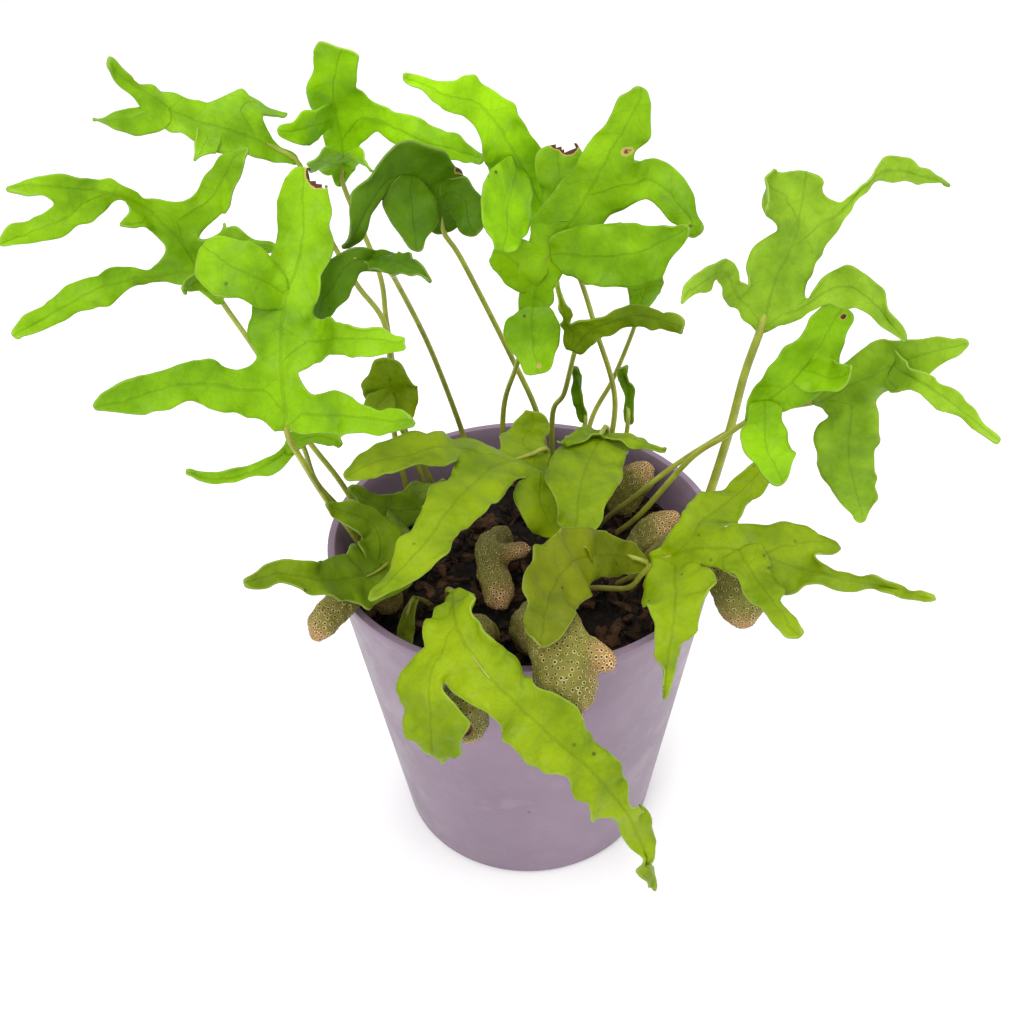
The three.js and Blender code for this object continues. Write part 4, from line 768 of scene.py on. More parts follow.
def leaf_material(name, fresh, deep, margin, spotted):
    """A thin waxy blade: cloudy greens, dark veins, a pale margin, spots and brown damage."""
    n = Nodes(name)
    place = n.coordinates()
    blade = n.add("ShaderNodeUVMap", uv_map="blade").outputs["UV"]
    split = n.add("ShaderNodeSeparateXYZ", {"Vector": blade})
    across = n.maths("ABSOLUTE", split.outputs["X"])
    to_tip = split.outputs["Y"]
    border = n.add("ShaderNodeUVMap", uv_map="edge").outputs["UV"]
    edge = n.add("ShaderNodeSeparateXYZ", {"Vector": border})
    brown = n.add("ShaderNodeAttribute", attribute_name="brown").outputs["Fac"]

    clouds = n.noise(place, 55.0, detail=4.0)
    mottle = n.noise(place, 260.0, detail=4.0, roughness=0.6)
    tint = n.mix(n.ramp(clouds.outputs[0], 0.34, 0.68), rgba(deep), rgba(fresh))
    tint = n.mix(n.ramp(mottle.outputs[0], 0.35, 0.7, 0.0, 0.3), tint, rgba(fresh, 1.15))

    width = n.ramp(to_tip, 0.0, 40.0, 0.02, 0.22)
    wander = n.ramp(mottle.outputs[0], 0.0, 1.0, -0.5, 0.5)
    rib = n.maths("SUBTRACT", n.maths("ABSOLUTE", n.maths("ADD", split.outputs["X"], wander)), width)
    link = n.maths("SUBTRACT", n.maths("ABSOLUTE", n.maths("ADD", edge.outputs["Y"], wander)), 0.08)
    vein = n.ramp(n.maths("MINIMUM", rib, link), 0.0, 0.3, 1.0, 0.0)
    slant = n.maths("SUBTRACT", to_tip, n.maths("MULTIPLY", across, 0.75))
    slant = n.maths("ADD", slant, n.ramp(clouds.outputs[0], 0.0, 1.0, -3.0, 3.0))
    side_vein = n.maths("PINGPONG", slant, SIDE_VEIN_GAP / 2)
    side_vein = n.ramp(side_vein, 0.0, 0.25, 1.0, 0.0)
    net = n.add("ShaderNodeTexVoronoi", {"Vector": place, "Scale": 420.0}, feature="DISTANCE_TO_EDGE")
    net_line = n.ramp(net.outputs["Distance"], 0.0, 0.12, 1.0, 0.0)
    for line, strength, gain in ((net_line, 0.1, 0.6), (side_vein, 0.07, 0.55), (vein, 0.21, 0.45)):
        tint = n.mix(n.maths("MULTIPLY", line, strength), tint, rgba(deep, gain))

    rim = n.ramp(edge.outputs["X"], 0.04, 0.3, 1.0, 0.0)
    tint = n.mix(n.maths("MULTIPLY", rim, 0.24), tint, rgba(margin))

    dots = n.add("ShaderNodeTexVoronoi", {"Vector": place, "Scale": 230.0})
    dot = n.ramp(dots.outputs["Distance"], 0.07, 0.14, 1.0, 0.0)
    few = n.ramp(n.noise(place, 60.0, detail=2.0).outputs[0], 0.62 - 0.2 * spotted, 0.68, 0.0, 0.85)
    tint = n.mix(n.maths("MULTIPLY", dot, few), tint, rgba((0.05, 0.03, 0.01)))

    ragged = n.maths("ADD", brown, n.ramp(mottle.outputs[0], 0.2, 0.8, -0.22, 0.22))
    tint = n.mix(n.ramp(ragged, 0.3, 0.45), tint, rgba((0.5, 0.42, 0.1)))
    tint = n.mix(n.ramp(ragged, 0.5, 0.62), tint, rgba((0.1, 0.035, 0.02)))

    relief = n.maths("SUBTRACT", mottle.outputs[0], n.maths("MULTIPLY", vein, 0.6))
    relief = n.maths("SUBTRACT", relief, n.maths("MULTIPLY", side_vein, 0.25))
    roughness = n.ramp(mottle.outputs[0], 0.3, 0.7, 0.34, 0.5)
    bump = n.bump(relief, 0.35, 0.0006)
    front = n.principled(tint, roughness, Specular_IOR_Level=0.14, Normal=bump)
    lit = n.mix(1.0, tint, rgba((1.0, 1.0, 0.35)), "MULTIPLY")
    through = n.add("ShaderNodeBsdfTranslucent", {"Color": lit})
    return n.shown(n.add("ShaderNodeMixShader", {0: LEAF_SEE_THROUGH, 1: front, 2: through}))


def stipe_material(colour, foot_colour):
    n = Nodes("stipe")
    place = n.coordinates()
    height = n.add("ShaderNodeSeparateXYZ", {"Vector": place}).outputs["Z"]
    streaks = n.noise(place, 180.0, detail=4.0)
    low = n.ramp(height, 0.086, 0.104, 1.0, 0.0)
    base = n.mix(n.ramp(streaks.outputs[0], 0.35, 0.7), rgba(colour, 0.8), rgba(colour, 1.15))
    base = n.mix(n.maths("MULTIPLY", low, 0.8), base, rgba(foot_colour))
    return n.shown(n.principled(base, 0.42, Normal=n.bump(streaks, 0.2, 0.0004)))


def matt_material(name, colour, roughness):
    n = Nodes(name)
    grain = n.noise(n.coordinates(), 3.0, detail=2.0)
    tint = n.mix(n.ramp(grain.outputs[0], 0.3, 0.7), rgba(colour, 0.985), rgba(colour))
    return n.shown(n.principled(tint, roughness))


def ring_out(scale, rise, at):
    """The selected face or ring drawn up and then widened or narrowed about the axis."""
    bpy.ops.mesh.extrude_region_move(TRANSFORM_OT_translate={"value": (0, 0, rise)})
    bpy.ops.transform.resize(value=(scale, scale, 1), center_override=(0, 0, at))


def turned_pot(pot):
    """The pot, drawn up from its underside: chamfered foot, tapered wall, rim band and inside."""
    band_foot = pot.height - POT_BAND_HEIGHT
    rim = pot.rim_radius

    def wall_at(z):
        return pot.base_radius + (rim - POT_BAND_PROUD - pot.base_radius) * z / pot.height

    profile = [
        (pot.base_radius - POT_FOOT_CHAMFER, 0),
        (wall_at(POT_FOOT_CHAMFER), POT_FOOT_CHAMFER),
        (wall_at(band_foot - POT_BAND_PROUD), band_foot - POT_BAND_PROUD),
        (wall_at(band_foot) + POT_BAND_PROUD, band_foot),
        (rim, pot.height),
        (rim - pot.wall, pot.height),
        (wall_at(band_foot) - pot.wall, band_foot),
        (wall_at(pot.floor) - pot.wall, pot.floor),
    ]
    deselect_all()
    bpy.ops.mesh.primitive_circle_add(
        vertices=POT_SIDES, radius=profile[0][0], fill_type="NGON", location=(0, 0, 0)
    )
    obj = bpy.context.object
    obj.name = "nursery_pot"
    bpy.ops.object.mode_set(mode="EDIT")
    bpy.ops.mesh.select_all(action="SELECT")
    for (r0, z0), (r1, z1) in zip(profile, profile[1:]):
        ring_out(r1 / r0, z1 - z0, z1)
    bpy.ops.mesh.select_all(action="SELECT")
    bpy.ops.mesh.normals_make_consistent(inside=False)
    bpy.ops.object.mode_set(mode="OBJECT")
    for i in range(DRAIN_HOLES):
        angle = 2 * math.pi * i / DRAIN_HOLES
        place = (DRAIN_CIRCLE * math.cos(angle), DRAIN_CIRCLE * math.sin(angle), 0)
        deselect_all()
        bpy.ops.mesh.primitive_cylinder_add(
            vertices=DRAIN_SIDES, radius=DRAIN_RADIUS, depth=4 * pot.floor, location=place
        )
        drain = bpy.context.object
        apply_modifier(obj, "BOOLEAN", object=drain, operation="DIFFERENCE", solver="EXACT")
        bpy.data.objects.remove(drain)
    apply_modifier(
        obj, "BEVEL", width=POT_EDGE_ROUND, segments=3, limit_method="ANGLE",
        angle_limit=math.radians(20), harden_normals=False,
    )
    shade_smooth(obj, 35)
    obj.data.materials.append(pot_material(pot.colour))
    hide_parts("pot")
    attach(obj, "root")


def crumb_rise(x, y):
    """How far a crumb lies over or under the mix's level at a place, in metres."""
    mx, my = x / MM, y / MM
    slow = math.sin(mx * 0.21 + 1) * math.cos(my * 0.26)
    return MIX_LUMP * (slow + 0.6 * math.sin(mx * 0.47 - my * 0.39))


def mix_bed(settings, reach_top, reach_floor, floor):
    """The body of the mix: a flat top of rings drawn in to the middle, and a plain side."""
    deselect_all()
    bpy.ops.mesh.primitive_circle_add(
        vertices=MIX_SECTORS, radius=reach_floor, location=(0, 0, floor)
    )
    obj = bpy.context.object
    obj.name = "potting_mix_bed"
    bpy.ops.object.mode_set(mode="EDIT")
    bpy.ops.mesh.select_all(action="SELECT")
    ring_out(reach_top / reach_floor, settings.level - floor, settings.level)
    radius = reach_top
    for ring in range(MIX_RINGS - 1, 0, -1):
        ring_out(reach_top * ring / MIX_RINGS / radius, 0, settings.level)
        radius = reach_top * ring / MIX_RINGS
    bpy.ops.mesh.edge_face_add()
    bm = bmesh.from_edit_mesh(obj.data)
    bpy.ops.mesh.select_all(action="DESELECT")
    for e in bm.edges:
        if e.is_boundary:
            e.select_set(True)
    bmesh.update_edit_mesh(obj.data)
    bpy.ops.mesh.edge_face_add()
    bpy.ops.mesh.select_all(action="SELECT")
    bpy.ops.mesh.normals_make_consistent(inside=False)
    bpy.ops.object.mode_set(mode="OBJECT")
    pick(obj)
    bpy.ops.object.transform_apply(location=True, rotation=True, scale=True)
    return obj


def crumb(name, size, squash, seed):
    """One crumb or bark bit: a ball pulled out of round."""
    deselect_all()
    bpy.ops.mesh.primitive_ico_sphere_add(subdivisions=1, radius=size, location=(0, 0, 0))
    obj = bpy.context.object
    obj.name = name
    for v in obj.data.vertices:
        way = Vector([wobble(seed, 3 * v.index + axis) for axis in range(3)])
        v.co = Vector(a * b for a, b in zip(v.co, squash)) + way * size * CRUMB_DENT
    return obj


def spread_crumbs(settings, bed, reach):
    """Crumbs, bark bits and fibres strewn over the mix, as part of the same piece."""
    rng = random.Random(7)
    kinds = [
        ("crumb_a", 0.0011, (1, 1, 0.8), 1), ("crumb_b", 0.0016, (1.2, 0.8, 0.7), 1),
        ("crumb_c", 0.0007, (1, 1, 1), 1), ("bark_a", 0.0021, (1.5, 0.7, 0.3), 2),
        ("bark_b", 0.0028, (1.4, 0.55, 0.25), 2), ("fibre", 0.0024, (2.2, 0.14, 0.14), 2),
    ]
    moulds = [(crumb(*kind, i + 1), slot) for i, (*kind, slot) in enumerate(kinds)]
    for mould, _ in moulds:
        for material in bed.data.materials:
            mould.data.materials.append(material)
    chances = [0.3, 0.14, 0.3, 0.12, 0.05, 0.09]
    copies = []
    while len(copies) < settings.crumbs:
        mould, slot = rng.choices(moulds, chances)[0]
        angle, share = rng.uniform(0, 2 * math.pi), math.sqrt(rng.random())
        away = reach * share * CRUMB_REACH
        x, y = away * math.cos(angle), away * math.sin(angle)
        z = settings.level + crumb_rise(x, y) + rng.uniform(-0.0002, 0.0007)
        copy = mould.copy()
        copy.data = mould.data.copy()
        bpy.context.collection.objects.link(copy)
        copy.location = (x, y, z)
        copy.rotation_euler = (rng.uniform(-0.5, 0.5), rng.uniform(-0.5, 0.5), rng.uniform(0, 6.3))
        copy.scale = [rng.uniform(0.7, 1.25)] * 3
        for polygon in copy.data.polygons:
            polygon.material_index = slot
        copies.append(copy)
    for mould, _ in moulds:
        bpy.data.objects.remove(mould)
    return join([bed, *copies])


def potting_mix(mix, pot):
    slope = (pot.rim_radius - POT_BAND_PROUD - pot.base_radius) / pot.height
    floor = pot.floor + MIX_GAP
    reach_top = pot.base_radius + slope * mix.level - pot.wall - MIX_GAP
    reach_floor = pot.base_radius + slope * floor - pot.wall - MIX_GAP
    bed = mix_bed(mix, reach_top, reach_floor, floor)
    # The dark mix and the crumbs are near black: partly the mix's own dark brown, partly painted
    # shade for the shade that falls inside the pot.
    for name, dark, light in (
        ("dark mix", (0.004, 0.003, 0.0025), (0.022, 0.014, 0.009)),
        ("crumbs", (0.006, 0.004, 0.003), (0.04, 0.024, 0.013)),
        ("bark bits", (0.024, 0.011, 0.006), (0.11, 0.052, 0.025)),
    ):
        bed.data.materials.append(mix_material(name, dark, light))
    obj = spread_crumbs(mix, bed, reach_top)
    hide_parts("potting_mix")
    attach(obj, "root")


def tube(name, places, radii, sides=16):
    """A closed round tube through places, in millimetres, as a bevelled curve turned to a mesh."""
    deselect_all()
    bpy.ops.curve.primitive_bezier_curve_add(location=(0, 0, 0))
    obj = bpy.context.object
    obj.name = name
    curve = obj.data
    curve.dimensions = "3D"
    curve.twist_mode = "MINIMUM"
    curve.splines.clear()
    line = curve.splines.new("POLY")
    line.points.add(len(places) - 1)
    for point, place, radius in zip(line.points, places, radii):
        point.co = (*(Vector(place) * MM), 1)
        point.radius = radius
    curve.bevel_depth = MM
    curve.bevel_resolution = max(1, sides // 4 - 1)
    curve.use_fill_caps = True
    pick(obj)
    bpy.ops.object.convert(target="MESH")
    return bpy.context.object


def swollen_run(run, thick):
    """Places and radii along a swollen, blunt-ended run."""
    path = Run(run)
    count = max(4, round(path.length / TUBE_STEP))
    places = [path.at(i / count) for i in range(count + 1)]
    radii = []
    for i in range(count + 1):
        end = min(i, count - i) / count * path.length
        close = min(1, end / (thick * TUBE_BLUNT))
        radii.append(thick * math.sqrt(1 - TUBE_END_DROP * (1 - close) ** 2))
    bulge = []
    for end, inner in ((0, 1), (-1, -2)):
        place, radius = places[end], radii[end]
        out = (place - places[inner]).normalized() * radius * TUBE_END_BULGE * 1.3
        bulge.append([(place + out * s, radius * math.sqrt(1 - s * s)) for s in END_RINGS])
    head, tail = bulge
    places = [p for p, _ in reversed(head)] + places + [p for p, _ in tail]
    radii = [r for _, r in reversed(head)] + radii + [r for _, r in tail]
    return places, radii


def scar(entry):
    """A raised round scar with a hollow middle, left by an old frond."""
    out = Vector(entry["out"]).normalized()
    place = (Vector(entry["at"]) - out * SCAR_SINK) * MM
    radius = entry["wide"] / 2 * MM
    deselect_all()
    bpy.ops.mesh.primitive_cylinder_add(
        vertices=24, radius=radius, depth=SCAR_DEPTH * MM, location=place,
        rotation=out.to_track_quat("Z", "Y").to_euler(),
    )
    obj = bpy.context.object
    obj.name = "scar"
    bm = clear_edit(obj)
    bpy.ops.mesh.select_mode(type="FACE")
    for face in bm.faces:
        face.select_set(face.normal.z > 0.9)
    bmesh.update_edit_mesh(obj.data)
    bpy.ops.mesh.inset(thickness=radius * 0.28, depth=radius * 0.12)
    bpy.ops.mesh.inset(thickness=radius * 0.12, depth=-radius * 0.35)
    bpy.ops.mesh.inset(thickness=radius * 0.3, depth=radius * 0.1)
    bpy.ops.object.mode_set(mode="OBJECT")
    apply_modifier(obj, "BEVEL", width=radius * 0.08, segments=2, limit_method="ANGLE")
    shade_smooth(obj)
    return obj


def strew_scales(obj, seed, tan_at):
    """Small round scales, pale with a dark middle, spread evenly over a rhizome's skin."""
    rng = random.Random(seed)
    faces = [(p.center.copy(), p.normal.copy()) for p in obj.data.polygons]
    rng.shuffle(faces)
    cell = SCALE_SPACING
    grid = {}
    chosen = []
    for centre, normal in faces:
        tan = tan_at(centre, normal)
        gap = cell * (1.0 - 0.28 * tan) * rng.uniform(0.8, 1.1)
        key = tuple(math.floor(c / cell) for c in centre)
        near = [
            p
            for dx in (-1, 0, 1) for dy in (-1, 0, 1) for dz in (-1, 0, 1)
            for p in grid.get((key[0] + dx, key[1] + dy, key[2] + dz), ())
        ]
        if all((p - centre).length > gap for p in near):
            grid.setdefault(key, []).append(centre)
            chosen.append((centre, normal, tan))
    points, faces_out, centres, tans = [], [], [], []
    for centre, normal, tan in chosen:
        side = normal.orthogonal().normalized()
        other = normal.cross(side)
        radius = cell * rng.uniform(SCALE_LEAST, SCALE_MOST)
        lift = cell * SCALE_LIFT
        first = len(points)
        points.append(centre + normal * lift)
        centres.append(1.0)
        for s in range(SCALE_SIDES):
            angle = 2 * math.pi * s / SCALE_SIDES
            out = (side * math.cos(angle) + other * math.sin(angle)) * radius
            points.append(centre + out - normal * lift * 0.3)
            centres.append(0.0)
        tans.extend([tan] * (SCALE_SIDES + 1))
        for s in range(SCALE_SIDES):
            faces_out.append((first, first + 1 + s, first + 1 + (s + 1) % SCALE_SIDES))
    scales = bpy.data.meshes.new("scales")
    scales.from_pydata(points, [], faces_out)
    scales.attributes.new("centre", "FLOAT", "POINT").data.foreach_set("value", centres)
    scales.attributes.new("tan", "FLOAT", "POINT").data.foreach_set("value", tans)
    made = bpy.data.objects.new("scales", scales)
    bpy.context.collection.objects.link(made)
    shade_smooth(made)
    return made


def swollen_rhizome(name, entry, seed, materials):
    """A fat lumpy rhizome with its horns, scales and frond scars, as one piece."""
    runs = [(entry["run"], entry["thick"])] + [(h["run"], h["thick"]) for h in entry.get("horns", [])]
    tubes = [tube(f"{name}_run", *swollen_run(run, thick)) for run, thick in runs]
    obj = join(tubes)
    obj.name = f"{name}_body"
    apply_modifier(obj, "REMESH", mode="VOXEL", voxel_size=SKIN_VOXEL)
    apply_modifier(obj, "SMOOTH", factor=0.7, iterations=8)
    displace(obj, cloud("lumps", 0.0055), 0.0017)
    displace(obj, cloud("dents", 0.0016, 1), 0.0003)
    shade_smooth(obj)
    ends = [Vector(run[-1]) * MM for run, _ in runs]
    reach = entry["thick"] * 1.5 * MM

    def tan_at(place, normal):
        near = min((place - end).length for end in ends)
        tip = max(0.0, 1.0 - near / reach)
        under = max(0.0, -normal.z) * 0.6
        return max(0.0, min(1.0, tip * 1.3 + under + 0.5 * noise.noise(place * 90)))

    mesh = obj.data
    tans = [tan_at(v.co, v.normal) for v in mesh.vertices]
    mesh.attributes.new("tan", "FLOAT", "POINT").data.foreach_set("value", tans)
    mesh.attributes.new("centre", "FLOAT", "POINT")
    for material in materials:
        mesh.materials.append(material)
    scales = strew_scales(obj, seed, tan_at)
    scars = [scar(s) for s in entry.get("scars", [])]
    for piece, slot in [(scales, 1), *((s, 2) for s in scars)]:
        for material in materials:
            piece.data.materials.append(material)
        for polygon in piece.data.polygons:
            polygon.material_index = slot
    join([obj, scales, *scars])
    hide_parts(name)
    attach(obj, "root")


class Blade:
    """A frond's blade drawn out in edit mode: a strip along the midrib and a strip a lobe."""

    def __init__(self, name, frond, seed):
        self.frond, self.seed, self.noise = frond, seed, 0
        self.foot = Vector(frond["foot"])
        self.face = Vector(frond["face"]).normalized()
        self.crisp = frond.get("crisp", 1)
        self.rib = Run([self.foot, *(self.foot + Vector(p) for p in frond["rib"])])
        self.rows = max(FEWEST_ROWS, math.floor(self.rib.length / ROW + 0.5))
        centres = [self.rib.at(i / self.rows) for i in range(self.rows + 1)]
        self.ways = ways_along(centres, self.face)
        strip = [self.rib_row(i) for i in range(self.rows + 1)]
        lobes, links = self.plan_lobes(strip)
        self.draw(name, strip, lobes, links)

    def next(self):
        self.noise += 1
        return wobble(self.seed, self.noise)

    def lift(self, i, side):
        wave = EDGE_WAVE * (side if i % 2 else -side)
        return self.crisp * (EDGE_LIFT * self.next() + wave)

    def rib_row(self, i):
        frond, way, t = self.frond, self.ways[i], i / self.rows
        opening = min(1, i * ROW / frond["opens"])
        half = spread(frond["wide"], t) / 2
        width = max(FOOT_HALF_WIDTH, half * opening * tip_shape(t, frond.get("point", BLADE_POINT)))
        edges = []
        for side in (-1, 1):
            wanted = FOOT_HALF_WIDTH if i == 0 else width * (1 + EDGE_RUN * self.next())
            reach = min(wanted, reach_limit(self.ways, i, side))
            lift = 0 if i == 0 else self.lift(i, side)
            edges.append((way.centre + way.right * side * reach + way.up * lift, reach))
        (left, left_reach), (right, right_reach) = edges
        return {"places": [left, way.centre, right], "reach": [-left_reach, 0, right_reach]}

    def plan_lobes(self, strip):
        """Where each lobe leaves the rib, and its rows of places."""
        taken, lobes, links = set(), [], []
        for lobe in self.frond["lobes"]:
            tip, mid = self.foot + Vector(lobe["tip"]), self.foot + Vector(lobe["mid"])
            wanted = math.floor(lobe["at"] * self.rows + 0.5) - 1
            near = min(max(wanted, 0), self.rows - 2)
            at = self.ways[near + 1]
            side = 1 if ((mid + tip) / 2 - at.centre).dot(at.right) > 0 else -1
            k = next(
                near + d
                for d in (0, 1, -1, 2, -2, 3, -3)
                if 0 <= near + d <= self.rows - 2
                and side * (near + d + 1) not in taken
                and side * (near + d + 2) not in taken
            )
            column = 2 if side > 0 else 0
            root = [strip[i]["places"][column] for i in (k, k + 1, k + 2)]
            rib_way = self.ways[k + 1]
            outward = rib_way.right * side
            folded = lobe.get("folded", (mid - root[1]).normalized().dot(outward) < LOBE_FOLD)
            leave = root[1] + outward * ROW * LOBE_LEAVE
            leave = leave.lerp(root[1].lerp(mid, LOBE_HEADING), 0.5)
            path = Run([rib_way.centre, mid, tip] if folded else [root[1], leave, mid, tip])
            steps = max(2, math.floor(path.length / ROW + 0.5))
            run = [path.at(j / steps) for j in range(steps + 1)]
            face = Vector(lobe["face"]).normalized() if "face" in lobe else self.face
            ways = ways_along(run, rib_way.up, face)
            if not folded:
                taken.update((side * (k + 1), side * (k + 2)))
                links.append((k, side))
                across = (root[0] - root[2]).normalized() * side
                for j, way in enumerate(ways[1:]):
                    turned = (way.right + across * ROOT_HOLD ** (j + 1)).normalized()
                    way.right = (turned - way.up * turned.dot(way.up)).normalized()
            half = ways[0].right * side * spread(lobe["wide"], 0) * FOLD_ROOT
            start = [rib_way.centre + half, rib_way.centre, rib_way.centre - half]
            rows = []
            for j in range(1, steps + 1):
                way = ways[j]
                share, point = j / steps, lobe.get("point", LOBE_POINT)
                width = spread(lobe["wide"], share) / 2 * tip_shape(share, point)
                row, reaches = [], []
                for turn in (-1, 1):
                    wanted = width * (1 + EDGE_RUN * self.next())
                    reach = min(wanted, reach_limit(ways, j, -side * turn))
                    lift = self.lift(j, turn)
                    row.append(way.centre + way.right * (-side * turn * reach) + way.up * lift)
                    reaches.append(reach)
                places, reach = [row[0], way.centre, row[1]], [-reaches[0], 0, reaches[1]]
                rows.append({"places": places, "reach": reach})
            lobes.append({
                "k": k, "side": side, "folded": folded, "start": start, "rows": rows,
                "length": path.length,
            })
        return lobes, links

    def draw(self, name, strip, lobes, links):
        deselect_all()
        bpy.ops.mesh.primitive_grid_add(
            x_subdivisions=2, y_subdivisions=1, size=2, calc_uvs=False, location=(0, 0, 0)
        )
        self.obj = bpy.context.object
        self.obj.name = name
        self.obj.vertex_groups.new(name="frill")
        bpy.ops.object.mode_set(mode="EDIT")
        bpy.ops.mesh.select_mode(type="EDGE")
        self.bm = bmesh.from_edit_mesh(self.obj.data)
        self.blade_map = self.bm.loops.layers.uv.new("blade")
        self.edge_map = self.bm.loops.layers.uv.new("edge")
        self.weights = self.bm.verts.layers.deform.verify()
        links = set(links)
        inner = {(lobe["k"] + 1, lobe["side"]) for lobe in lobes if not lobe["folded"]}

        def rib_values(i, column, quad):
            """Across, to the tip, to the edge and to a lobe's vein, at a corner of the rib."""
            row = strip[i]
            to_tip = self.rib.length * (1 - i / self.rows)
            side = column - 1
            if column == 1:
                edge = min(-row["reach"][0], row["reach"][2], max(to_tip, 0))
            else:
                edge = ROOT_INSIDE if (i, side) in inner else 0
            at, quad_side = quad
            if (at, quad_side) not in links:
                vein = NO_VEIN
            elif i == at:
                vein = 0 if column == 1 else ROW * VEIN_SLANT
            else:
                vein = -ROW * VEIN_SLANT if column == 1 else 0
            return row["reach"][column], to_tip, edge, vein

        bottom = sorted(self.bm.verts, key=lambda v: (v.co.y, v.co.x))
        rows = [bottom[:3], bottom[3:]]
        for i, row in enumerate(rows):
            for vert, place in zip(row, strip[i]["places"]):
                vert.co = place * MM
        for i in range(2, self.rows + 1):
            rows.append(self.drawn_out(rows[-1], strip[i]["places"]))
        for i in range(self.rows):
            for column in (0, 1):
                quad = (i, -1 if column == 0 else 1)
                self.mark(rows, i, column, lambda c: rib_values(*c, quad))
        for lobe in lobes:
            column = 2 if lobe["side"] > 0 else 0
            if lobe["folded"]:
                spans, further = self.loose_root(lobe), lobe["rows"][1:]
            else:
                spans = [[rows[lobe["k"] + d][column] for d in (0, 1, 2)]]
                further = lobe["rows"]
            for row in further:
                spans.append(self.drawn_out(spans[-1], row["places"]))
            self.mark_lobe(lobe, spans)
        for vert in self.bm.verts:
            vert[self.weights][0] = 1.0 if vert.is_boundary else 0.0
        bmesh.update_edit_mesh(self.obj.data)
        bpy.ops.mesh.select_all(action="DESELECT")
        bpy.ops.object.mode_set(mode="OBJECT")

    def drawn_out(self, row, places):
        """The open edges through a row, extruded to the next row's places."""
        bpy.ops.mesh.select_all(action="DESELECT")
        for a, b in zip(row, row[1:]):
            self.bm.edges.get((a, b)).select_set(True)
        step = places[1] * MM - row[1].co
        bpy.ops.mesh.extrude_region_move(TRANSFORM_OT_translate={"value": step})
        fresh = [v for v in self.bm.verts if v.select]
        new = []
        for old in row:
            vert = min(fresh, key=lambda v: (v.co - old.co - step).length)
            fresh.remove(vert)
            new.append(vert)
        for vert, place in zip(new, places):
            vert.co = place * MM
        return new

    def loose_root(self, lobe):
        """The first two rows of a lobe that lies folded over the rib."""
        bpy.ops.mesh.select_all(action="DESELECT")
        bpy.ops.mesh.primitive_grid_add(
            x_subdivisions=2, y_subdivisions=1, size=2, calc_uvs=False, location=(0, 0, 1)
        )
        fresh = sorted((v for v in self.bm.verts if v.select), key=lambda v: (v.co.y, v.co.x))
        rows = [fresh[:3], fresh[3:]]
        if lobe["side"] > 0:
            rows = [row[::-1] for row in rows]
        for row, places in zip(rows, (lobe["start"], lobe["rows"][0]["places"])):
            for vert, place in zip(row, places):
                vert.co = place * MM
        return rows

    def mark_lobe(self, lobe, spans):
        count = len(spans) - 1
        reaches = [[-ROW, 0, ROW]] + [row["reach"] for row in lobe["rows"]]

        def values(corner):
            i, column = corner
            to_tip = lobe["length"] * (1 - i / count)
            reach = reaches[i]
            if column == 1:
                edge = min(-reach[0], reach[2], to_tip) if i else ROOT_INSIDE
            else:
                edge = 0
            return reach[column], to_tip, edge, NO_VEIN

        for i in range(count):
            for column in (0, 1):
                self.mark(spans, i, column, values)

    def mark(self, rows, i, column, values):
        """Writes the values of a face's corners: the face after a row and a column."""
        corners = {rows[i + a][column + b]: (i + a, column + b) for a in (0, 1) for b in (0, 1)}
        face = next(f for f in next(iter(corners)).link_faces if all(v in corners for v in f.verts))
        for loop in face.loops:
            across, to_tip, edge, vein = values(corners[loop.vert])
            loop[self.blade_map].uv = (across, to_tip)
            loop[self.edge_map].uv = (edge, vein)


def stipe(name, frond, level):
    """The stalk from the mix up to the blade, drawn out thin along the midrib."""
    foot = Vector(frond["foot"])
    rib = Run([foot, *(foot + Vector(p) for p in frond["rib"])])
    first = Vector(frond["stipe"][0])
    root = Vector((first.x, first.y, level / MM - STIPE_SINK))
    start = min(0.5, ROW / rib.length)
    low = Run([root, *frond["stipe"], foot, rib.at(start)])
    steps = max(4, round(low.length / STIPE_STEP))
    radius = frond.get("stalk", STIPE_RADIUS)
    rib_steps = max(3, round((RIB_RUN - start) * rib.length / STIPE_STEP))
    places = [low.at(i / steps) for i in range(steps + 1)]
    radii = [radius * (1 - STIPE_TAPER * i / steps) for i in range(steps + 1)]
    for j in range(1, rib_steps + 1):
        t = j / rib_steps
        places.append(rib.at(start + (RIB_RUN - start) * t))
        radii.append(radii[steps] + (RIB_END_RADIUS - radii[steps]) * t**0.7)
    face = Vector(frond["face"]).normalized()
    for i, way in enumerate(ways_along(places, face)):
        inside = max(0.0, min(1.0, (i - steps + rib_steps / 2) / (rib_steps / 2)))
        places[i] = places[i] - way.up * RIB_BEHIND * inside
    return tube(name, places, radii, sides=12)


def damage(obj, frond):
    """Tears and brown patches: faces taken out near a tear, and browning painted round both."""
    foot = Vector(frond["foot"])
    tears = [((foot + Vector(p[:3])) * MM, p[3] * MM) for p in frond.get("tears", [])]
    browns = [((foot + Vector(p[:3])) * MM, p[3] * MM) for p in frond.get("browns", [])]
    if tears:
        bm = clear_edit(obj)
        bpy.ops.mesh.select_mode(type="FACE")
        for face in bm.faces:
            c = face.calc_center_median()
            ragged = 1 + TEAR_RAGGED * noise.noise(c * 700)
            if any((c - place).length < radius * ragged for place, radius in tears):
                face.select_set(True)
        bmesh.update_edit_mesh(obj.data)
        bpy.ops.mesh.delete(type="FACE")
        bpy.ops.object.mode_set(mode="OBJECT")
    values = []
    for v in obj.data.vertices:
        near = 0.0
        for place, radius in tears:
            near = max(near, 1 - ((v.co - place).length - radius) / (BROWN_RUN * MM))
        for place, radius in browns:
            near = max(near, 1 - ((v.co - place).length / radius) ** 2)
        values.append(max(0.0, min(1.0, near)))
    obj.data.attributes.new("brown", "FLOAT", "POINT").data.foreach_set("value", values)


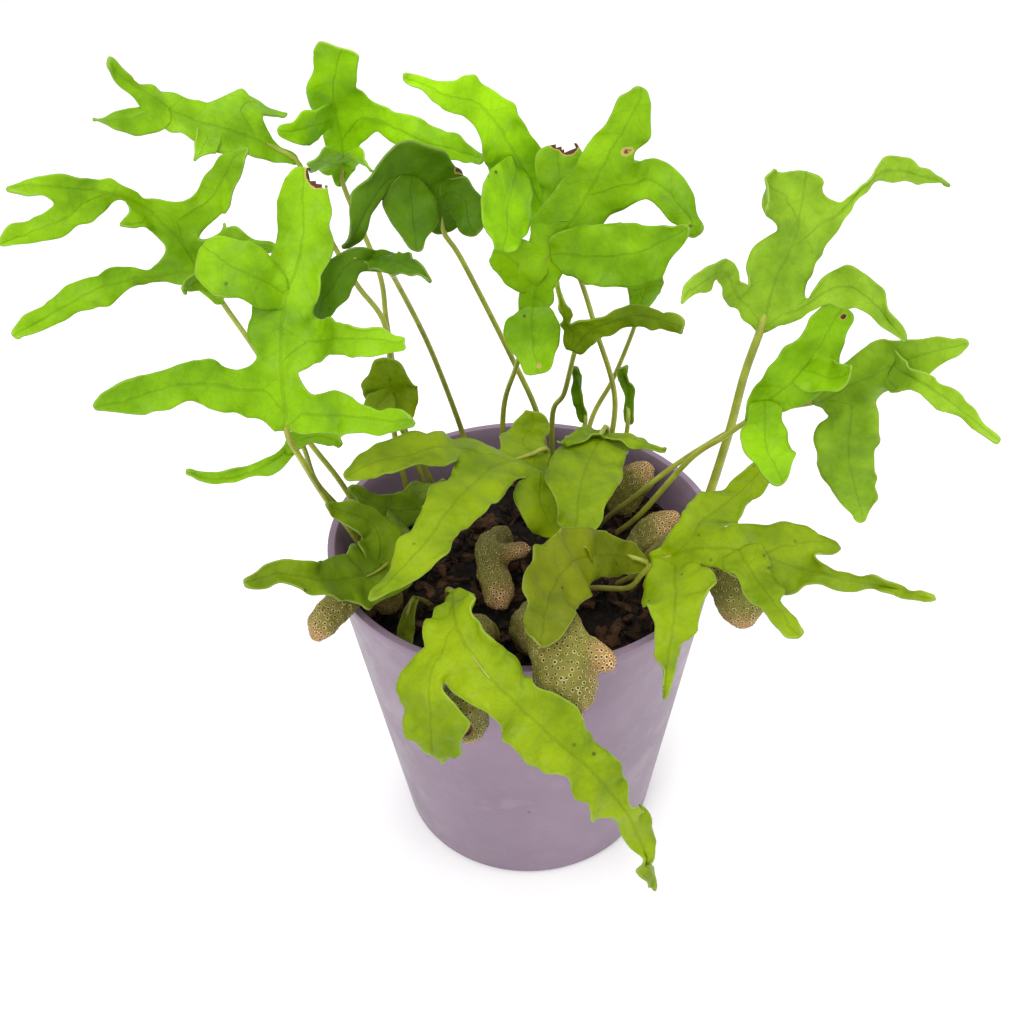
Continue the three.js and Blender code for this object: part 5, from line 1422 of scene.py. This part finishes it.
def blade_waves():
    """The textures of a blade's broad waves, of its edge's run in and out, and of its frill."""
    waves = [cloud("buckle", 0.011, 1), cloud("crimp", 0.0085, 1), cloud("frill", 0.0052, 1)]
    waves[1].cloud_type = "COLOR"
    return waves


def leafy_frond(name, frond, seed, settings, level, waves, leaf, stalk):
    """One frond: the blade smoothed, frilled and thickened, and its stipe."""
    blade = Blade(f"{name}_blade", frond, seed).obj
    apply_modifier(blade, "SUBSURF", levels=settings.smoothing, render_levels=settings.smoothing,
                   uv_smooth="NONE")
    crisp = frond.get("crisp", 1)
    buckle, crimp, frill = waves
    displace(blade, buckle, settings.buckle)
    displace(blade, crimp, settings.crimp * crisp, direction="RGB_TO_XYZ", space="LOCAL",
             vertex_group="frill")
    displace(blade, frill, settings.frill * crisp, vertex_group="frill")
    damage(blade, frond)
    apply_modifier(blade, "SOLIDIFY", thickness=settings.blade_thickness, offset=0)
    shade_smooth(blade)
    blade.data.materials.append(leaf)
    stem = stipe(f"{name}_stipe", frond, level)
    shade_smooth(stem)
    stem.data.materials.append(stalk)
    join([blade, stem])
    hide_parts(name)
    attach(blade, "root")


def studio(stage):
    """The floor, the even light of the room, three soft lamps and the camera."""
    deselect_all()
    bpy.ops.mesh.primitive_plane_add(size=FLOOR_SIZE, location=(0, 0, 0))
    floor = bpy.context.object
    floor.name = "floor"
    floor.data.materials.append(matt_material("pale floor", stage.floor_colour, 0.9))

    world = bpy.data.worlds.new("pale room")
    world.use_nodes = True
    background = world.node_tree.nodes["Background"]
    background.inputs["Color"].default_value = (1.0, 1.0, 1.0, 1.0)
    background.inputs["Strength"].default_value = stage.room_light
    bpy.context.scene.world = world

    lamps = [
        ("key", (-0.35, -0.75, 0.95), 0.9, stage.key_light),
        ("fill", (0.9, -0.35, 0.55), 0.9, stage.key_light * 0.3),
        ("top", (0.1, 0.35, 1.1), 0.8, stage.key_light * 0.5),
    ]
    for name, place, size, power in lamps:
        turn = (Vector(place) - Vector(LAMP_AIM)).to_track_quat("Z", "Y").to_euler()
        bpy.ops.object.light_add(type="AREA", radius=size, location=place, rotation=turn)
        lamp = bpy.context.object
        lamp.name = f"{name}_light"
        lamp.data.shape = "DISK"
        lamp.data.size = size
        lamp.data.energy = power

    bpy.ops.object.camera_add()
    camera = bpy.context.object
    camera.name = "camera"
    turn = Matrix((CAMERA_RIGHT, CAMERA_UP, CAMERA_BACK)).transposed().to_4x4()
    camera.matrix_world = Matrix.Translation(CAMERA_PLACE) @ turn
    camera.data.lens = CAMERA_LENS
    camera.data.sensor_width = CAMERA_SENSOR
    camera.data.clip_start = 0.01
    scene = bpy.context.scene
    scene.camera = camera
    scene.view_settings.view_transform = "Standard"


POT_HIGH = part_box("pot")[1]


def colour_of(name, description, default):
    return FloatVectorProperty(
        name=name, description=description, default=default, subtype="COLOR", min=0, max=1
    )


def length_of(name, description, default):
    return FloatProperty(name=name, description=description, default=default, unit="LENGTH")


class FernPot(PropertyGroup):
    height: length_of("Height", "Height of the pot", POT_HIGH.z)
    rim_radius: length_of("Rim radius", "Outer radius of the rim", POT_HIGH.x)
    base_radius: length_of("Base radius", "Outer radius at the foot", 0.038)
    wall: length_of("Wall", "Thickness of the wall", 0.002)
    floor: length_of("Floor", "Thickness of the floor", 0.0024)
    colour: colour_of("Colour", "Colour of the plastic", (0.2, 0.138, 0.195))


class FernMix(PropertyGroup):
    level: length_of("Level", "Height of the mix above the floor it stands on", 0.087)
    crumbs: IntProperty(
        name="Crumbs", description="Crumbs, bark bits and fibres on the mix", default=1500, min=0
    )


class FernRhizomes(PropertyGroup):
    colour: colour_of("Skin", "Colour of the green skin", (0.15, 0.145, 0.018))
    tip_colour: colour_of("Tips", "Colour of the tan tips", (0.3, 0.17, 0.06))
    scale_colour: colour_of("Scales", "Colour of the round scales", (0.41, 0.36, 0.13))


class FernFronds(PropertyGroup):
    smoothing: IntProperty(
        name="Smoothing", description="Times that a blade's net is divided", default=3, min=1, max=4
    )
    blade_thickness: length_of("Blade", "Thickness of a blade", 0.00045)
    frill: length_of("Frill", "Height of the fine waves along an edge", 0.0016)
    crimp: length_of("Crimp", "How far an edge runs in and out of its line", 0.0042)
    buckle: length_of("Buckle", "Height of the broad waves of a blade", 0.0024)
    fresh: colour_of("Fresh green", "Colour of a bright blade", (0.245, 0.49, 0.0035))
    deep: colour_of("Deep green", "Colour of its darker patches", (0.13, 0.295, 0.0018))
    margin: colour_of("Margin", "Colour of the thin pale margin", (0.48, 0.6, 0.16))
    stipe: colour_of("Stipe", "Colour of a stalk", (0.3, 0.33, 0.03))
    stipe_foot: colour_of("Stipe foot", "Colour of a stalk at the mix", (0.12, 0.07, 0.02))


class FernStage(PropertyGroup):
    floor_colour: colour_of("Floor", "Colour of the floor", (0.93, 0.93, 0.93))
    room_light: FloatProperty(
        name="Room light", description="Strength of the even light", default=0.86, min=0
    )
    key_light: FloatProperty(
        name="Key light", description="Power of the main lamp", default=9.0, min=0, unit="POWER"
    )


# A blade's tone: gains of red, green and blue over the bright blade, and how spotted it is. Sunlit is
# painted light, a brighter copy for blades that face the lamps; dark and shade are painted shade,
# darker copies for blades in shade or seen from their shaded underside, and shade is also redder. The
# other tones are the blades' own hues.
TONES = {
    "bright": ((1.1, 1.07, 1.0), 0.1),
    "sunlit": ((1.42, 1.38, 1.0), 0.1),
    "mid": ((1.08, 1.04, 1.0), 0.3),
    "dark": ((0.44, 0.48, 1.0), 0.5),
    "shade": ((0.76, 0.58, 1.0), 0.5),
    "cool": ((1.22, 1.03, 6.0), 0.4),
    "olive": ((1.12, 0.8, 1.0), 0.9),
    "yellow": ((1.15, 0.81, 1.0), 0.2),
    "brownish": ((0.8, 0.48, 1.0), 1.0),
}

# Fronds 04 and 06 take the painted light of sunlit; 05, 08, 18, 19, 22, 23 and 24 take the painted
# shade of dark and shade.
FROND_TONES = {
    "frond_01": "bright", "frond_02": "mid", "frond_03": "bright", "frond_04": "sunlit",
    "frond_05": "dark", "frond_06": "sunlit", "frond_07": "mid", "frond_08": "shade",
    "frond_09": "mid", "frond_10": "cool", "frond_11": "bright", "frond_12": "cool",
    "frond_13": "yellow", "frond_14": "olive", "frond_15": "olive", "frond_16": "brownish",
    "frond_17": "yellow", "frond_18": "shade", "frond_19": "shade", "frond_20": "mid",
    "frond_21": "olive", "frond_22": "dark", "frond_23": "dark", "frond_24": "dark",
    "frond_25": "brownish",
}


class FERN_OT_pot(Operator):
    """Model the plastic nursery pot"""

    bl_idname = "fern.pot"
    bl_label = "Pot"

    def execute(self, context):
        turned_pot(context.scene.fern_pot)
        return {"FINISHED"}


class FERN_OT_mix(Operator):
    """Model the potting mix with its crumbs, bark bits and fibres"""

    bl_idname = "fern.mix"
    bl_label = "Potting mix"

    def execute(self, context):
        potting_mix(context.scene.fern_mix, context.scene.fern_pot)
        return {"FINISHED"}


class FERN_OT_rhizomes(Operator):
    """Model the swollen rhizomes with their scales and frond scars"""

    bl_idname = "fern.rhizomes"
    bl_label = "Rhizomes"

    def execute(self, context):
        colours = context.scene.fern_rhizomes
        materials = [
            skin_material(colours.colour, colours.tip_colour),
            scale_material(colours.scale_colour),
            scar_material(),
        ]
        for i, (name, entry) in enumerate(RHIZOMES.items()):
            swollen_rhizome(name, entry, i + 1, materials)
        return {"FINISHED"}


class FERN_OT_fronds(Operator):
    """Model the lobed fronds on their stipes"""

    bl_idname = "fern.fronds"
    bl_label = "Fronds"

    def execute(self, context):
        fronds, level = context.scene.fern_fronds, context.scene.fern_mix.level
        leaves = {}
        # One leaf material a tone; the sunlit, dark and shade copies carry painted light and painted
        # shade.
        for tone, (gains, spotted) in TONES.items():
            fresh, deep = (
                [c * g for c, g in zip(colour, gains)] for colour in (fronds.fresh, fronds.deep)
            )
            leaves[tone] = leaf_material(f"{tone} leaf", fresh, deep, fronds.margin, spotted)
        stalk = stipe_material(fronds.stipe, fronds.stipe_foot)
        waves = blade_waves()
        for i, (name, frond) in enumerate(FRONDS.items()):
            leaf = leaves[FROND_TONES[name]]
            leafy_frond(name, frond, i + 1, fronds, level, waves, leaf, stalk)
        return {"FINISHED"}


class FERN_OT_stage(Operator):
    """Set up the pale floor, the soft studio light and the camera"""

    bl_idname = "fern.stage"
    bl_label = "Stage"

    def execute(self, context):
        studio(context.scene.fern_stage)
        return {"FINISHED"}


PIECES = (FERN_OT_pot, FERN_OT_mix, FERN_OT_rhizomes, FERN_OT_fronds, FERN_OT_stage)
SETTINGS = {
    "fern_pot": FernPot,
    "fern_mix": FernMix,
    "fern_rhizomes": FernRhizomes,
    "fern_fronds": FernFronds,
    "fern_stage": FernStage,
}


class FERN_PT_panel(Panel):
    """Lists the plant's pieces and their settings"""

    bl_idname = "FERN_PT_panel"
    bl_label = "Ant Fern"
    bl_space_type = "VIEW_3D"
    bl_region_type = "UI"
    bl_category = "Ant Fern"

    def draw(self, context):
        for piece, (name, group) in zip(PIECES, SETTINGS.items()):
            box = self.layout.box()
            settings = getattr(context.scene, name)
            for prop in group.__annotations__:
                box.prop(settings, prop)
            box.operator(piece.bl_idname)


def register():
    for cls in (*SETTINGS.values(), *PIECES, FERN_PT_panel):
        bpy.utils.register_class(cls)
    for name, group in SETTINGS.items():
        setattr(bpy.types.Scene, name, PointerProperty(type=group))


def unregister():
    for name in SETTINGS:
        delattr(bpy.types.Scene, name)
    for cls in reversed((*SETTINGS.values(), *PIECES, FERN_PT_panel)):
        bpy.utils.unregister_class(cls)


def main():
    register()
    bpy.ops.fern.pot()
    bpy.ops.fern.mix()
    bpy.ops.fern.rhizomes()
    bpy.ops.fern.fronds()
    bpy.ops.fern.stage()


if __name__ == "__main__":
    main()
